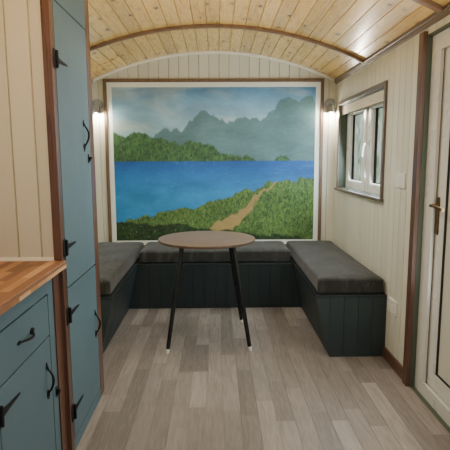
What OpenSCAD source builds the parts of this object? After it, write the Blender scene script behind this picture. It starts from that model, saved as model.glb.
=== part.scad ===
/* [Shell] */
// Clear width between the side walls
inner_w = 2200; // [2000:10:2600]
// Thickness of the walls
wall_t = 120; // [100:1:160]
// Height of the wall between the door's opening and the spring of the roof
over_door_h = 67; // [50:1:300]
// Rise of the ceiling from the side walls to the middle
rise = 253; // [200:1:400]
// Thickness of the floor deck
deck_t = 108; // [80:1:150]
// Thickness of the floor boards
boards_t = 12; // [8:1:20]

/* [Roof] */
// Distance from the end wall to the first hoop
first_hoop = 860; // [800:1:900]
// Distance from one hoop to the next
hoop_pitch = 1212; // [1190:1:1400]
// Number of hoops
hoops = 3; // [3:1:6]
// Width of a hoop, along the hut
hoop_w = 38; // [25:1:60]
// Depth of a hoop
hoop_t = 22; // [12:1:35]
// Thickness of the ceiling boards
lining_t = 18; // [10:1:25]
// Thickness of the roof over the ceiling
cover_t = 62; // [40:1:90]
// Reach of the roof past the side walls
eaves_over = 90; // [70:1:110]
// Reach of the roof past the end wall
end_over = 80; // [30:1:150]
// Height of the moulding under the ceiling, at the side walls
cornice_h = 50; // [30:1:70]
// Depth of the moulding under the ceiling
cornice_t = 22; // [12:1:30]
// Depth of the bead at the top of the end wall
bead_h = 22; // [12:1:25]
// Thickness of the bead at the top of the end wall
bead_t = 15; // [8:1:20]
// Height of the skirting boards
skirting_h = 70; // [50:1:110]
// Thickness of the skirting boards
skirting_t = 15; // [10:1:20]

/* [Windows] */
// Distance from the end wall to a window
win_far = 182; // [120:1:200]
// Distance that the left window stands further from the end wall
left_win_shift = 70; // [0:1:120]
// Width of a window opening
win_w = 1119; // [900:1:1180]
// Distance from the spring of the roof down to a window opening
win_drop = 237; // [120:1:300]
// Height of a window opening
win_h = 713; // [500:1:740]
// Width of the brown trim round a window
win_trim_w = 32; // [25:1:60]
// Thickness of the brown trim round a window
win_trim_t = 15; // [8:1:20]
// Depth of the white frame
win_frame_t = 55; // [35:1:64]
// Width of the white frame's bars
win_bar = 52; // [35:1:60]
// Thickness of the double glazing
win_glass_t = 20; // [10:1:28]
// Distance from the glazing to the outside of the frame
win_glass_set = 5; // [0:1:15]
// Thickness of the sill board
sill_t = 22; // [15:1:30]
// Reach of the sill board into the room
sill_out = 30; // [20:1:70]
// Reach of the sill board past the opening at each end
sill_ear = 42; // [34:1:80]
// Depth of the rolled blind's case
blind_d = 62; // [40:1:64]
// Height of the rolled blind with the cloth that hangs under it
blind_h = 84; // [40:1:110]

/* [Entrance door] */
// Distance from the side bench to the door's opening
door_from_bench = 405; // [380:1:430]
// Width of the door leaf
leaf_w = 722; // [640:1:760]
// Height of the door leaf
leaf_h = 1762; // [1650:1:1765]
// Thickness of the door leaf
leaf_t = 52; // [40:1:56]
// Gap round the door leaf
leaf_gap = 8; // [7:1:12]
// Width of the frame's jambs
jamb_w = 78; // [60:1:90]
// Width of the frame's head
head_w = 60; // [40:1:60]
// Depth of the door frame
door_frame_t = 78; // [74:1:90]
// Distance of the door frame behind the wall's outer face
door_set = 17; // [0:1:20]
// Height of the frame's sill above the floor
door_sill_h = 50; // [30:1:60]
// Width of the leaf's stiles and rails
leaf_stile = 100; // [80:1:120]
// Thickness of the panel in the leaf
leaf_panel_t = 28; // [20:1:36]
// Width of the brown posts beside the door
post_w = 54; // [40:1:110]
// Depth of the brown posts
post_t = 25; // [15:1:35]
// Thickness of the boards that line the opening
reveal_t = 10; // [6:1:15]
// Height of the door handle above the floor
handle_z = 1035; // [900:1:1100]
// Distance from the leaf's free edge to the middle of its handle
handle_in = 32; // [24:1:60]
// Distance from the leaf's top and bottom edges to its outer hinges
door_hinge_in = 170; // [120:1:260]
// Radius of the door's hinge pin
pin_r = 4; // [3:0.5:5]

/* [Bench] */
// Height of the bench boards above the floor
bench_h = 411; // [360:1:460]
// Depth of the side benches at the top
bench_side = 454; // [400:1:560]
// Depth of the back bench at the top
bench_back = 527; // [450:1:600]
// Slope of the bench fronts, from top to floor
bench_rake = 96; // [40:1:120]
// Length of the side benches
bench_len = 1477; // [1300:1:1650]
// Thickness of the bench boards
panel_t = 18; // [12:1:22]
// Thickness of the cushions
cushion_h = 110; // [80:1:130]

/* [Table] */
// Diameter of the table top
table_d = 680; // [640:1:800]
// Height of the table
table_h = 725; // [690:1:760]
// Thickness of the table top
table_t = 18; // [12:1:25]
// Distance from the end wall to the middle of the table
table_pos = 1096; // [1050:1:1100]
// Distance of the table from the middle of the room, to the left
table_left = 55; // [0:1:60]
// Angle that the table is turned by
table_turn = 3; // [0:1:10]
// Half distance between the feet
table_feet_half = 277; // [260:1:290]
// Half distance between the tops of the legs
table_legs_half = 170; // [150:1:200]
// Radius of a leg at the top
leg_r = 15; // [10:1:18]

/* [Mural] */
// Width of the mural with its frame
mural_w = 1976; // [1600:1:1976]
// Height of the mural's bottom edge above the floor
mural_z = 449; // [430:1:480]
// Height of the mural's top edge above the spring of the roof
mural_over = 16; // [-150:1:16]
// Width of the mural's frame
mural_frame_w = 30; // [20:1:40]
// Thickness of the mural's frame
mural_frame_t = 20; // [14:1:22]
// Thickness of the mural's board
mural_board_t = 10; // [6:1:12]

/* [Lamps and plates] */
// Distance from the spring of the roof down to the middle of a lamp
lamp_drop = 206; // [200:1:300]
// Distance from a lamp to the side wall
lamp_in = 53; // [50:1:60]
// Radius of a lamp's round base
lamp_r = 48; // [35:1:48]
// Thickness of a lamp's round base
lamp_base_t = 22; // [15:1:26]
// Radius of a lamp's arm
lamp_arm_r = 8; // [6:1:12]
// Reach of a lamp's head from the end wall
lamp_reach = 96; // [94:1:110]
// Radius of a lamp's head
lamp_head_r = 42; // [36:1:44]
// Width of the switch and the socket
wall_plate_w = 146; // [86:1:160]
// Height of the switch and the socket
wall_plate_h = 86; // [80:1:90]
// Thickness of the switch and the socket
wall_plate_t = 9; // [6:1:12]
// Distance from the side bench to the middle of the switch
switch_from_bench = 143; // [80:1:200]
// Height of the middle of the switch above the floor
switch_z = 1146; // [1100:1:1400]
// Distance from the side bench to the middle of the socket
socket_from_bench = 108; // [90:1:200]
// Height of the middle of the socket above the floor
socket_z = 371; // [200:1:420]

/* [Tall cupboard] */
// Depth of the tall cupboard from the wall
cup_depth = 484; // [400:1:520]
// Distance from the cupboard's far side to the hoop over it
cup_to_hoop = 183; // [60:1:200]
// Width of the cupboard
cup_w = 589; // [540:1:600]
// Width of the brown strip at the cupboard's near corner
cup_strip = 34; // [25:1:45]
// Width of the brown strip at the cupboard's far corner
cup_far_strip = 75; // [25:1:90]
// Width of the near strip where it is turned round the corner
wrap_w = 34; // [20:1:90]
// Thickness of that strip
wrap_t = 8; // [5:1:12]
// Height of the plinth
plinth_h = 52; // [40:1:80]
// Height of the gap between the two doors
cup_split = 735; // [650:1:850]
// Distance from the spring of the roof down to the top of the upper door
cup_door_drop = 67; // [60:1:160]
// Gap round the cupboard doors and drawers
gap = 6; // [5:0.5:8]
// Thickness of the cupboard doors
door_t = 18; // [15:1:22]

/* [Worktop unit] */
// Height of the worktop
worktop_h = 867; // [840:1:920]
// Thickness of the worktop
worktop_t = 32; // [25:1:40]
// Depth of the worktop from the wall
worktop_depth = 497; // [450:1:560]
// Reach of the worktop past the unit's front
worktop_lip = 37; // [20:1:50]
// Length of the unit
unit_w = 656; // [620:1:700]
// Width of the unit's first stile
unit_stile = 128; // [100:1:140]
// Width of the brown strip on the unit's first stile
unit_strip_w = 72; // [50:1:90]
// Thickness of that strip
unit_strip_t = 6; // [4:1:10]
// Width of the unit's door and drawer
unit_door_w = 444; // [380:1:470]
// Height of the gap between the door and the drawer
unit_split = 596; // [560:1:640]
// Height of the drawer's top edge
drawer_top = 758; // [740:1:780]
// Depth of the drawer box
drawer_len = 380; // [300:1:400]

/* [Ironwork] */
// Distance from the upper door's top edge to its upper hinge
upper_hinge_down = 226; // [100:1:300]
// Distance from the split between the doors to the upper door's lower hinge
upper_hinge_up = 177; // [100:1:260]
// Distance from the split between the doors to the lower door's upper hinge
lower_hinge_down = 115; // [80:1:200]
// Distance from the plinth to the lower door's lower hinge
lower_hinge_up = 130; // [80:1:200]
// Distance from the split over the unit's door to its upper hinge
unit_hinge_down = 84; // [60:1:150]
// Distance from the plinth to the lower hinge of the unit's door
unit_hinge_up = 98; // [60:1:180]
// Distance from the upper door's top edge to its pull
upper_pull_down = 509; // [400:1:600]
// Height of the pulls on the lower door and the unit's door above the plinth
lower_pull_up = 380; // [300:1:420]
// Distance from the free edge of the lower door or the unit's door to its pull
pull_in = 50; // [40:1:70]
// Distance from the upper door's free edge to its pull
upper_pull_in = 110; // [60:1:140]
// Thickness of the hinge straps
strap_t = 3; // [2:0.5:4]
// Length of a hinge strap
strap_len = 150; // [110:1:170]
// Height of a hinge plate
plate_h = 76; // [60:1:90]
// Radius of a cupboard hinge pin
iron_r = 3; // [2.5:0.5:3]
// Height of a pull handle
pull_h = 150; // [130:1:180]
// Reach of a pull handle
pull_out = 28; // [26:1:40]

/* [Hidden] */
joint_gap = 0.3;

leaf_z = door_sill_h + leaf_gap;
frame_top = leaf_z + leaf_h + leaf_gap + head_w;
eaves_h = frame_top + reveal_t + over_door_h;
crown_h = eaves_h + rise;
above = 1.4 * crown_h; // a height above the whole roof

half_w = inner_w / 2;
outer_half = half_w + wall_t;
inner_len = first_hoop + (hoops - 1) * hoop_pitch + hoop_w / 2;
total_len = end_over + wall_t + inner_len;
end_y = total_len / 2 - end_over - wall_t;
floor_z = deck_t + boards_t;
arch_r = (half_w * half_w + rise * rise) / (2 * rise);
arch_z = crown_h - arch_r;
lining_r = arch_r + lining_t;
cover_r = lining_r + cover_t;

win_near = win_far + win_w;
win_z = eaves_h - win_drop - win_h;
win_frame_x = outer_half - win_frame_t;

door_far = bench_len + door_from_bench;
leaf_back = 3;
door_out = outer_half - door_set;
leaf_x = door_out - leaf_back - leaf_t;
stop_t = 16;
stop_lap = 14;
door_frame_x = door_out - door_frame_t;
leaf_far = door_far + reveal_t + jamb_w + leaf_gap;
leaf_near = leaf_far + leaf_w;
door_near = leaf_near + leaf_gap + jamb_w + reveal_t;
knuckle_r = 8;
knuckle_h = 40;
door_axis_x = door_out + knuckle_r - 2;
door_axis_d = leaf_near + leaf_gap / 2;

bench_top_x = half_w - bench_side;
bench_foot_x = bench_top_x + bench_rake;
bench_foot_d = bench_back - bench_rake;
front_h = bench_h - panel_t;

cushion_far = mural_frame_t + 3;
mural_top = eaves_h + mural_over;

cup_far = first_hoop + hoop_pitch - cup_to_hoop;
cup_near = cup_far + cup_w;
cup_x = -half_w + cup_depth;
cup_door_top = eaves_h - cup_door_drop;
cup_door_far = cup_far + cup_far_strip + gap;
cup_door_near = cup_near - cup_strip - gap;

switch_pos = bench_len + switch_from_bench;
socket_pos = bench_len + socket_from_bench;

unit_far = cup_near;
unit_near = unit_far + unit_w;
worktop_x = -half_w + worktop_depth;
unit_x = worktop_x - worktop_lip;
unit_top = worktop_h - worktop_t;
unit_door_far = unit_far + unit_stile + gap;
unit_door_near = unit_door_far + unit_door_w;
unit_hinge_d = unit_door_near + gap / 2;
drawer_z = unit_split + gap / 2 + 12;
drawer_far = unit_door_far + 12;
drawer_near = unit_door_near - 12;

iron_axis = iron_r + strap_t + 1;
hinge_d = cup_door_near + gap / 2;
upper_hinges = [cup_split + upper_hinge_up, cup_door_top - upper_hinge_down];
lower_hinges = [plinth_h + lower_hinge_up, cup_split - lower_hinge_down];
unit_hinges = [plinth_h + unit_hinge_up, unit_split - unit_hinge_down];
lower_pull_z = plinth_h + lower_pull_up;

// Everything above the floor is drawn from the end wall: x across, y from the end wall to the
// open front, z up from the floor boards.
module room() {
    translate([0, end_y, floor_z]) mirror([0, 1, 0]) children();
}

// A box from its limits in x, in distance from the end wall, and in height
module slab(x0, x1, d0, d1, z0, z1) {
    translate([x0, d0, z0]) cube([x1 - x0, d1 - d0, z1 - z0]);
}

// The same piece on the left and on the right
module both_sides() {
    children();
    mirror([1, 0, 0]) children();
}

// A cross-section in x and z, drawn out along the hut
module across(d0, d1) {
    translate([0, d1, 0]) rotate([90, 0, 0]) linear_extrude(d1 - d0) children();
}

// A section in distance and z, drawn out across the hut
module along_x(x0, x1) {
    translate([x0, 0, 0]) rotate([90, 0, 90]) linear_extrude(x1 - x0) children();
}

// The disc under one of the roof's curves
module under_arch(r) {
    translate([0, arch_z]) circle(r = r, $fn = 240);
}

// A curved strip of the roof between two radii
module arch_strip(r0, r1, reach) {
    intersection() {
        difference() {
            under_arch(r1);
            under_arch(r0);
        }
        translate([-reach, arch_z]) square([2 * reach, 2 * arch_r]);
    }
}

// Four bars round an opening in a side wall, each clear of the next by a hair
module bars(x0, x1, d0, d1, z0, z1, w) {
    slab(x0, x1, d0, d0 + w, z0, z1);
    slab(x0, x1, d1 - w, d1, z0, z1);
    slab(x0, x1, d0 + w + joint_gap, d1 - w - joint_gap, z0, z0 + w);
    slab(x0, x1, d0 + w + joint_gap, d1 - w - joint_gap, z1 - w, z1);
}

// A round bar between two points
module rod(a, b, r0, r1) {
    v = b - a;
    l = norm(v);
    translate(a) rotate([0, acos(v[2] / l), atan2(v[1], v[0])]) cylinder(r1 = r0, r2 = r1, h = l, $fn = 48);
}

module floor_deck() {
    color("peru") translate([-outer_half, end_y - inner_len, 0])
        cube([2 * outer_half, wall_t + inner_len, deck_t]);
}

module floor_boards() {
    color("tan") room() slab(-half_w, half_w, 0, inner_len, -boards_t, 0);
}

module end_wall() {
    color("beige") room() across(-wall_t, 0) intersection() {
        translate([-outer_half, -boards_t]) square([2 * outer_half, above]);
        under_arch(lining_r);
    }
}

// Section of the right wall, up to the underside of the roof
module wall_section(z0) {
    intersection() {
        translate([half_w, z0]) square([wall_t, above]);
        under_arch(lining_r);
    }
}

// A side wall from the end wall to d1: panels before, past, under and over the window, which
// stands further from the end wall by shift
module windowed_wall(d1, shift) {
    a = win_far + shift;
    b = win_near + shift;
    across(0, a) wall_section(-boards_t);
    across(b, d1) wall_section(-boards_t);
    across(a + joint_gap, b - joint_gap) wall_section(win_z + win_h);
    slab(half_w, outer_half, a + joint_gap, b - joint_gap, -boards_t, win_z - sill_t);
}

// The right window's pieces, and the left window's
module both_windows() {
    children();
    mirror([1, 0, 0]) translate([0, left_win_shift, 0]) children();
}

module left_wall() {
    color("beige") room() mirror([1, 0, 0]) windowed_wall(inner_len, left_win_shift);
}

module right_wall() {
    color("beige") room() windowed_wall(door_far, 0);
}

module right_wall_over_door() {
    color("beige") room() across(door_far, door_near) wall_section(frame_top + reveal_t);
}

module right_wall_front() {
    color("beige") room() across(door_near, inner_len) wall_section(-boards_t);
}

module roof_lining() {
    color("burlywood") room() across(0, inner_len) arch_strip(arch_r, lining_r, half_w);
}

module roof_cover() {
    color("dimgray") room() across(-wall_t - end_over, inner_len)
        arch_strip(lining_r, cover_r, outer_half + eaves_over);
}

module hoop_at(d, clear) {
    across(d - hoop_w / 2 - clear, d + hoop_w / 2 + clear)
        arch_strip(arch_r - hoop_t - clear, arch_r, half_w - cornice_t);
}

module roof_hoops() {
    color("saddlebrown") room() for (i = [0 : hoops - 1]) hoop_at(first_hoop + i * hoop_pitch, 0);
}

module cornice_section() {
    intersection() {
        translate([half_w - cornice_t, eaves_h - cornice_h]) square([cornice_t, 200]);
        under_arch(arch_r);
    }
}

module cornices() {
    color("saddlebrown") room() {
        across(0, inner_len) cornice_section();
        mirror([1, 0, 0]) across(0, cup_far) cornice_section();
        mirror([1, 0, 0]) across(cup_near, inner_len) cornice_section();
    }
}

module arch_bead() {
    color("beige") room() across(0, bead_t) arch_strip(arch_r - bead_h, arch_r, half_w - cornice_t);
}

module skirtings() {
    color("saddlebrown") room() {
        slab(half_w - skirting_t, half_w, bench_len, door_far + reveal_t - post_w, 0, skirting_h);
        slab(half_w - skirting_t, half_w, door_near - reveal_t + post_w, inner_len, 0, skirting_h);
        slab(-half_w, -half_w + skirting_t, bench_len, cup_far, 0, skirting_h);
        slab(-half_w, -half_w + skirting_t, unit_near, inner_len, 0, skirting_h);
    }
}

module door_posts() {
    color("saddlebrown") room() {
        for (d = [door_far + reveal_t - post_w, door_near - reveal_t])
            slab(half_w - post_t, half_w, d, d + post_w, 0, eaves_h - cornice_h);
    }
}

// Boards that line the inner part of the opening
module door_lining() {
    color("cadetblue") room() {
        slab(half_w, door_frame_x, door_far, door_far + reveal_t, 0, frame_top);
        slab(half_w, door_frame_x, door_near - reveal_t, door_near, 0, frame_top);
        slab(half_w, door_frame_x, door_far, door_near, frame_top, frame_top + reveal_t);
        slab(half_w, door_frame_x, door_far, door_near, -boards_t, 0);
    }
}

module knuckle(z0, h) {
    translate([door_axis_x, door_axis_d, z0]) cylinder(r = knuckle_r, h = h, $fn = 48);
}

// Heights of the three hinges
function door_hinge_z(i) = leaf_z + door_hinge_in + i * (leaf_h / 2 - door_hinge_in);

// Pin at the height of one of the door's hinges
module door_pin(z, r) {
    translate([door_axis_x, door_axis_d, z - knuckle_h]) cylinder(r = r, h = 2 * knuckle_h, $fn = 48);
}

// The white frame with its stops and the hinge halves that it holds
module door_frame() {
    head_z = leaf_z + leaf_h;
    color("white") room() {
        difference() {
            slab(door_frame_x, door_out, door_far, door_near, -boards_t, frame_top + reveal_t);
            slab(door_frame_x + stop_t, door_out + 1, leaf_far - leaf_gap, leaf_near + leaf_gap,
                leaf_z - leaf_gap, head_z + leaf_gap);
            slab(door_frame_x - 1, door_out + 1, leaf_far + stop_lap, leaf_near - stop_lap,
                leaf_z + stop_lap, head_z - stop_lap);
            for (i = [0 : 2]) translate([door_axis_x, door_axis_d, door_hinge_z(i) - knuckle_h / 2])
                cylinder(r = knuckle_r + joint_gap, h = knuckle_h, $fn = 48);
        }
        for (i = [0 : 2]) {
            z = door_hinge_z(i);
            slab(door_out - 1, door_out + 3, door_axis_d + knuckle_r, door_axis_d + 34,
                z - 1.5 * knuckle_h, z + 1.5 * knuckle_h);
            for (s = [-1, 1]) {
                slab(door_out, door_axis_x + 2, door_axis_d + 2, door_axis_d + knuckle_r + 4,
                    z + s * knuckle_h - knuckle_h / 2, z + s * knuckle_h + knuckle_h / 2);
                knuckle(z + s * knuckle_h - knuckle_h / 2, knuckle_h);
            }
            door_pin(z, pin_r);
        }
    }
}

// The white leaf with its rails and its halves of the hinges
module door_leaf() {
    color("white") room() {
        difference() {
            slab(leaf_x, leaf_x + leaf_t, leaf_far, leaf_near, leaf_z, leaf_z + leaf_h);
            slab(leaf_x - 1, leaf_x + leaf_t + 1, leaf_far + leaf_stile, leaf_near - leaf_stile,
                leaf_z + leaf_stile, leaf_z + leaf_h - leaf_stile);
        }
        for (i = [0 : 2]) {
            z = door_hinge_z(i);
            difference() {
                union() {
                    knuckle(z - knuckle_h / 2 + joint_gap, knuckle_h - 2 * joint_gap);
                    slab(leaf_x + leaf_t - 1, door_axis_x + 2, door_axis_d - 34, door_axis_d,
                        z - knuckle_h / 2 + joint_gap, z + knuckle_h / 2 - joint_gap);
                }
                door_pin(z, pin_r + joint_gap);
            }
        }
    }
}

module door_panel() {
    x = leaf_x + (leaf_t - leaf_panel_t) / 2;
    color("whitesmoke") room() slab(x, x + leaf_panel_t, leaf_far + leaf_stile, leaf_near - leaf_stile,
        leaf_z + leaf_stile, leaf_z + leaf_h - leaf_stile);
}

// Long plate, neck and lever, inside and outside
module door_handle() {
    plate_d = leaf_far + handle_in;
    plate_w = 32;
    plate_down = 150;
    plate_up = 44;
    lever_len = 120;
    neck = 44;
    color("goldenrod") room() {
        for (face = [[leaf_x, -1], [leaf_x + leaf_t, 1]]) {
            x = face[0];
            s = face[1];
            a = min(x, x + s * 6);
            slab(a, a + 6, plate_d - plate_w / 2, plate_d + plate_w / 2,
                handle_z - plate_down, handle_z + plate_up);
            rod([x, plate_d, handle_z], [x + s * (neck + 8), plate_d, handle_z], 10, 10);
            rod([x + s * neck, plate_d, handle_z], [x + s * neck, plate_d + lever_len, handle_z], 10, 8);
        }
    }
}

module window_trims() {
    color("saddlebrown") room() both_windows() {
        x0 = half_w - win_trim_t;
        top = win_z + win_h + win_trim_w;
        slab(x0, half_w, win_far - win_trim_w, win_far, win_z + joint_gap, top);
        slab(x0, half_w, win_near, win_near + win_trim_w, win_z + joint_gap, top);
        slab(x0, half_w, win_far + joint_gap, win_near - joint_gap, win_z + win_h, top);
    }
}

module window_sills() {
    color("saddlebrown") room() both_windows() {
        slab(half_w - sill_out, half_w, win_far - sill_ear, win_near + sill_ear, win_z - sill_t, win_z);
        slab(half_w - sill_out, win_frame_x, win_far, win_near, win_z - sill_t, win_z);
    }
}

module window_frames() {
    mid = (win_far + win_near) / 2;
    z1 = win_z + win_h;
    color("white") room() both_windows() {
        bars(win_frame_x, outer_half, win_far, win_near, win_z - sill_t, z1, win_bar);
        slab(win_frame_x, outer_half, mid - win_bar, mid + win_bar,
            win_z - sill_t + win_bar + joint_gap, z1 - win_bar - joint_gap);
    }
}

module window_glass() {
    mid = (win_far + win_near) / 2;
    x0 = outer_half - win_glass_set - win_glass_t;
    color("lightblue", 0.4) room() both_windows() {
        for (d = [[win_far + win_bar, mid - win_bar], [mid + win_bar, win_near - win_bar]])
            slab(x0, x0 + win_glass_t, d[0], d[1], win_z - sill_t + win_bar, win_z + win_h - win_bar);
    }
}

module window_blinds() {
    color("ivory") room() both_windows()
        slab(win_frame_x - blind_d, win_frame_x, win_far + 4, win_near - 4,
            win_z + win_h - blind_h, win_z + win_h);
}

module mural_board() {
    color("steelblue") room() slab(-mural_w / 2 + mural_frame_w, mural_w / 2 - mural_frame_w,
        0, mural_board_t, mural_z + mural_frame_w, mural_top - mural_frame_w);
}

module mural_frame() {
    x = mural_w / 2;
    w = mural_frame_w;
    color("saddlebrown") room() {
        both_sides() slab(x - w, x, 0, mural_frame_t, mural_z, mural_top);
        slab(-x + w + joint_gap, x - w - joint_gap, 0, mural_frame_t, mural_top - w, mural_top);
        slab(-x + w + joint_gap, x - w - joint_gap, 0, mural_frame_t, mural_z, mural_z + w);
    }
}

// Round base, short arm and hood that points down
module wall_lamps() {
    x = half_w - lamp_in;
    z = eaves_h - lamp_drop;
    mid = lamp_reach - lamp_head_r;
    color("silver") room() both_sides() {
        rod([x, 0, z], [x, lamp_base_t, z], lamp_r, lamp_r - 2);
        rod([x, lamp_base_t / 2, z - 12], [x, mid, z - 12], lamp_arm_r, lamp_arm_r);
        rod([x, mid - 8, z - 4], [x, mid - 2, z - 2 * lamp_head_r], 0.7 * lamp_head_r, lamp_head_r);
    }
}

module wall_plates() {
    color("white") room() for (at = [[switch_pos, switch_z], [socket_pos, socket_z]])
        slab(half_w - wall_plate_t, half_w, at[0] - wall_plate_w / 2, at[0] + wall_plate_w / 2,
            at[1] - wall_plate_h / 2, at[1] + wall_plate_h / 2);
}

// Sloping fronts of the three benches, with square ends where they meet
module bench_fronts() {
    color("darkslategray") room() {
        both_sides() intersection() {
            across(0, bench_len - panel_t) polygon([
                [bench_foot_x, 0], [bench_foot_x + panel_t, 0],
                [bench_top_x + panel_t, front_h], [bench_top_x, front_h]]);
            along_x(0, half_w) polygon([
                [bench_foot_d - panel_t, 0], [bench_len - panel_t, 0],
                [bench_len - panel_t, front_h], [bench_back - panel_t, front_h]]);
        }
        intersection() {
            along_x(-half_w, half_w) polygon([
                [bench_foot_d - panel_t, 0], [bench_foot_d, 0],
                [bench_back, front_h], [bench_back - panel_t, front_h]]);
            across(0, bench_len) polygon([
                [-bench_foot_x + joint_gap, 0], [bench_foot_x - joint_gap, 0],
                [bench_top_x - joint_gap, front_h], [-bench_top_x + joint_gap, front_h]]);
        }
    }
}

module bench_ends() {
    color("darkslategray") room() both_sides() across(bench_len - panel_t, bench_len) polygon([
        [bench_foot_x, 0], [half_w, 0], [half_w, front_h], [bench_top_x, front_h]]);
}

module bench_tops() {
    color("darkslategray") room() {
        both_sides() slab(bench_top_x, half_w, 0, bench_len, front_h, bench_h);
        slab(-bench_top_x + joint_gap, bench_top_x - joint_gap, 0, bench_back, front_h, bench_h);
    }
}

// Plain block of foam in its cover, clear of the mural's frame
module side_cushion() {
    slab(bench_top_x + 2, half_w - 2, cushion_far, bench_len - 2, bench_h, bench_h + cushion_h);
}

module cushion_left() {
    color("dimgray") room() mirror([1, 0, 0]) side_cushion();
}

module cushion_back() {
    color("dimgray") room() slab(-bench_top_x, bench_top_x, cushion_far, bench_back - 2,
        bench_h, bench_h + cushion_h);
}

module cushion_right() {
    color("dimgray") room() side_cushion();
}

module table_top() {
    color("burlywood") room() translate([-table_left, table_pos, table_h - table_t])
        cylinder(d = table_d, h = table_t, $fn = 128);
}

// Place of a leg from the table's middle: along its axis, 0 at the floor and 1 under the top
function leg_point(sx, sd, t) = [
    sx * (table_feet_half + (table_legs_half - table_feet_half) * t),
    sd * (table_feet_half + (table_legs_half - table_feet_half) * t),
    t * (table_h - table_t)];

// Moves what is drawn about the table's middle to its place
module at_table() {
    translate([-table_left, table_pos, 0]) rotate([0, 0, -table_turn]) children();
}

module table_legs() {
    color("black") room() at_table() intersection() {
        for (sx = [-1, 1], sd = [-1, 1]) {
            rod(leg_point(sx, sd, 0.04), leg_point(sx, sd, 1.02), leg_r - 4, leg_r);
            translate(leg_point(sx, sd, 1) - [0, 0, 4]) cylinder(r = leg_r + 22, h = 4, $fn = 48);
        }
        translate([-table_d, -table_d, 0]) cube([2 * table_d, 2 * table_d, table_h - table_t]);
    }
}

module table_feet() {
    color("white") room() at_table() intersection() {
        for (sx = [-1, 1], sd = [-1, 1])
            rod(leg_point(sx, sd, -0.02), leg_point(sx, sd, 0.04), leg_r - 3, leg_r - 3);
        translate([-table_d, -table_d, 0]) cube([2 * table_d, 2 * table_d, table_h]);
    }
}

// Side panels of the tall cupboard, from the floor to the ceiling
module cupboard_sides() {
    color("beige") room() intersection() {
        for (d = [cup_far, cup_near - panel_t])
            slab(-half_w, cup_x - door_t, d, d + panel_t, 0, above);
        across(cup_far - 1, cup_near + 1) under_arch(arch_r - joint_gap);
    }
}

// Brown strips up both front corners, the near one turned round its corner, above and below the
// worktop, and one more on the unit's face
module cupboard_strips() {
    x0 = cup_x - door_t;
    color("saddlebrown") room() difference() {
        intersection() {
            union() {
                slab(x0, cup_x, cup_far, cup_far + cup_far_strip, 0, above);
                slab(x0, cup_x, cup_near - cup_strip, cup_near, 0, above);
                slab(cup_x - wrap_w, cup_x, cup_near, cup_near + wrap_t, worktop_h + joint_gap, above);
                slab(unit_x, cup_x, cup_near, cup_near + wrap_t, 0, unit_top - joint_gap);
                slab(unit_x, unit_x + unit_strip_t, cup_near, cup_near + unit_strip_w,
                    0, unit_top - joint_gap);
            }
            across(cup_far - 1, cup_near + 100) under_arch(arch_r - joint_gap);
        }
        for (i = [0 : hoops - 1]) hoop_at(first_hoop + i * hoop_pitch, joint_gap);
    }
}

// Plinth, shelf behind the doors' split and the board over the upper door
module cupboard_rails() {
    x0 = cup_x - door_t;
    d0 = cup_far + cup_far_strip;
    d1 = cup_near - cup_strip;
    color("cadetblue") room() {
        slab(x0, cup_x, d0, d1, 0, plinth_h);
        slab(-half_w, x0 - gap, cup_far + panel_t, cup_near - panel_t,
            cup_split - panel_t / 2, cup_split + panel_t / 2);
        difference() {
            intersection() {
                slab(x0, cup_x, d0, d1, cup_door_top + gap, above);
                across(cup_far, cup_near) under_arch(arch_r - joint_gap);
            }
            for (i = [0 : hoops - 1]) hoop_at(first_hoop + i * hoop_pitch, joint_gap);
        }
    }
}

module cupboard_door(z0, z1) {
    slab(cup_x - door_t, cup_x, cup_door_far, cup_door_near, z0, z1);
}

module cupboard_upper_door() {
    color("cadetblue") room() cupboard_door(cup_split + gap / 2 + 1, cup_door_top);
}

module cupboard_lower_door() {
    color("cadetblue") room() cupboard_door(plinth_h + gap, cup_split - gap / 2 - 1);
}

// Pointed strap with its eye round the pin, which stands at the door's near edge
module strap(x, d, z) {
    axis_x = x + iron_axis;
    difference() {
        union() {
            translate([x, 0, z]) along_x(0, strap_t) polygon([
                [d, -16], [d - 30, -13], [d - strap_len, -3],
                [d - strap_len, 3], [d - 30, 13], [d, 16]]);
            translate([axis_x, d, z - 15]) cylinder(r = iron_r + strap_t, h = 30, $fn = 48);
        }
        translate([axis_x, d, z - 40]) cylinder(r = iron_r + joint_gap, h = 80, $fn = 48);
    }
}

// Plate on the fixed side of a strap, with its two eyes and the pin
module hinge_plate(x, d, z) {
    axis_x = x + iron_axis;
    eye = iron_r + strap_t + joint_gap;
    difference() {
        slab(x, x + strap_t, d, d + 30, z - plate_h / 2, z + plate_h / 2);
        slab(x - 1, x + strap_t + 1, d - 1, d + eye, z - 16.5, z + 16.5);
    }
    for (s = [-1, 1])
        translate([axis_x, d, z + s * 24 - 7.5]) cylinder(r = iron_r + strap_t, h = 15, $fn = 48);
    translate([axis_x, d, z - 30]) cylinder(r = iron_r, h = 60, $fn = 48);
}

// Pull handle: two feet and a bowed grip
module pull(x, d, z) {
    for (s = [-1, 1]) {
        rod([x, d, z + s * pull_h * 0.42], [x + 4, d, z + s * pull_h * 0.42], 14, 12);
        rod([x + 4, d, z + s * pull_h * 0.36], [x + pull_out, d, z + s * pull_h * 0.2], 6, 6);
    }
    rod([x + pull_out - 4, d, z - pull_h * 0.22], [x + pull_out - 4, d, z + pull_h * 0.22], 6, 6);
}

module cupboard_upper_iron() {
    color("black") room() {
        for (z = upper_hinges) strap(cup_x, hinge_d, z);
        pull(cup_x, cup_door_far + upper_pull_in, cup_door_top - upper_pull_down);
    }
}

module cupboard_lower_iron() {
    color("black") room() {
        for (z = lower_hinges) strap(cup_x, hinge_d, z);
        pull(cup_x, cup_door_far + pull_in, lower_pull_z);
    }
}

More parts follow.
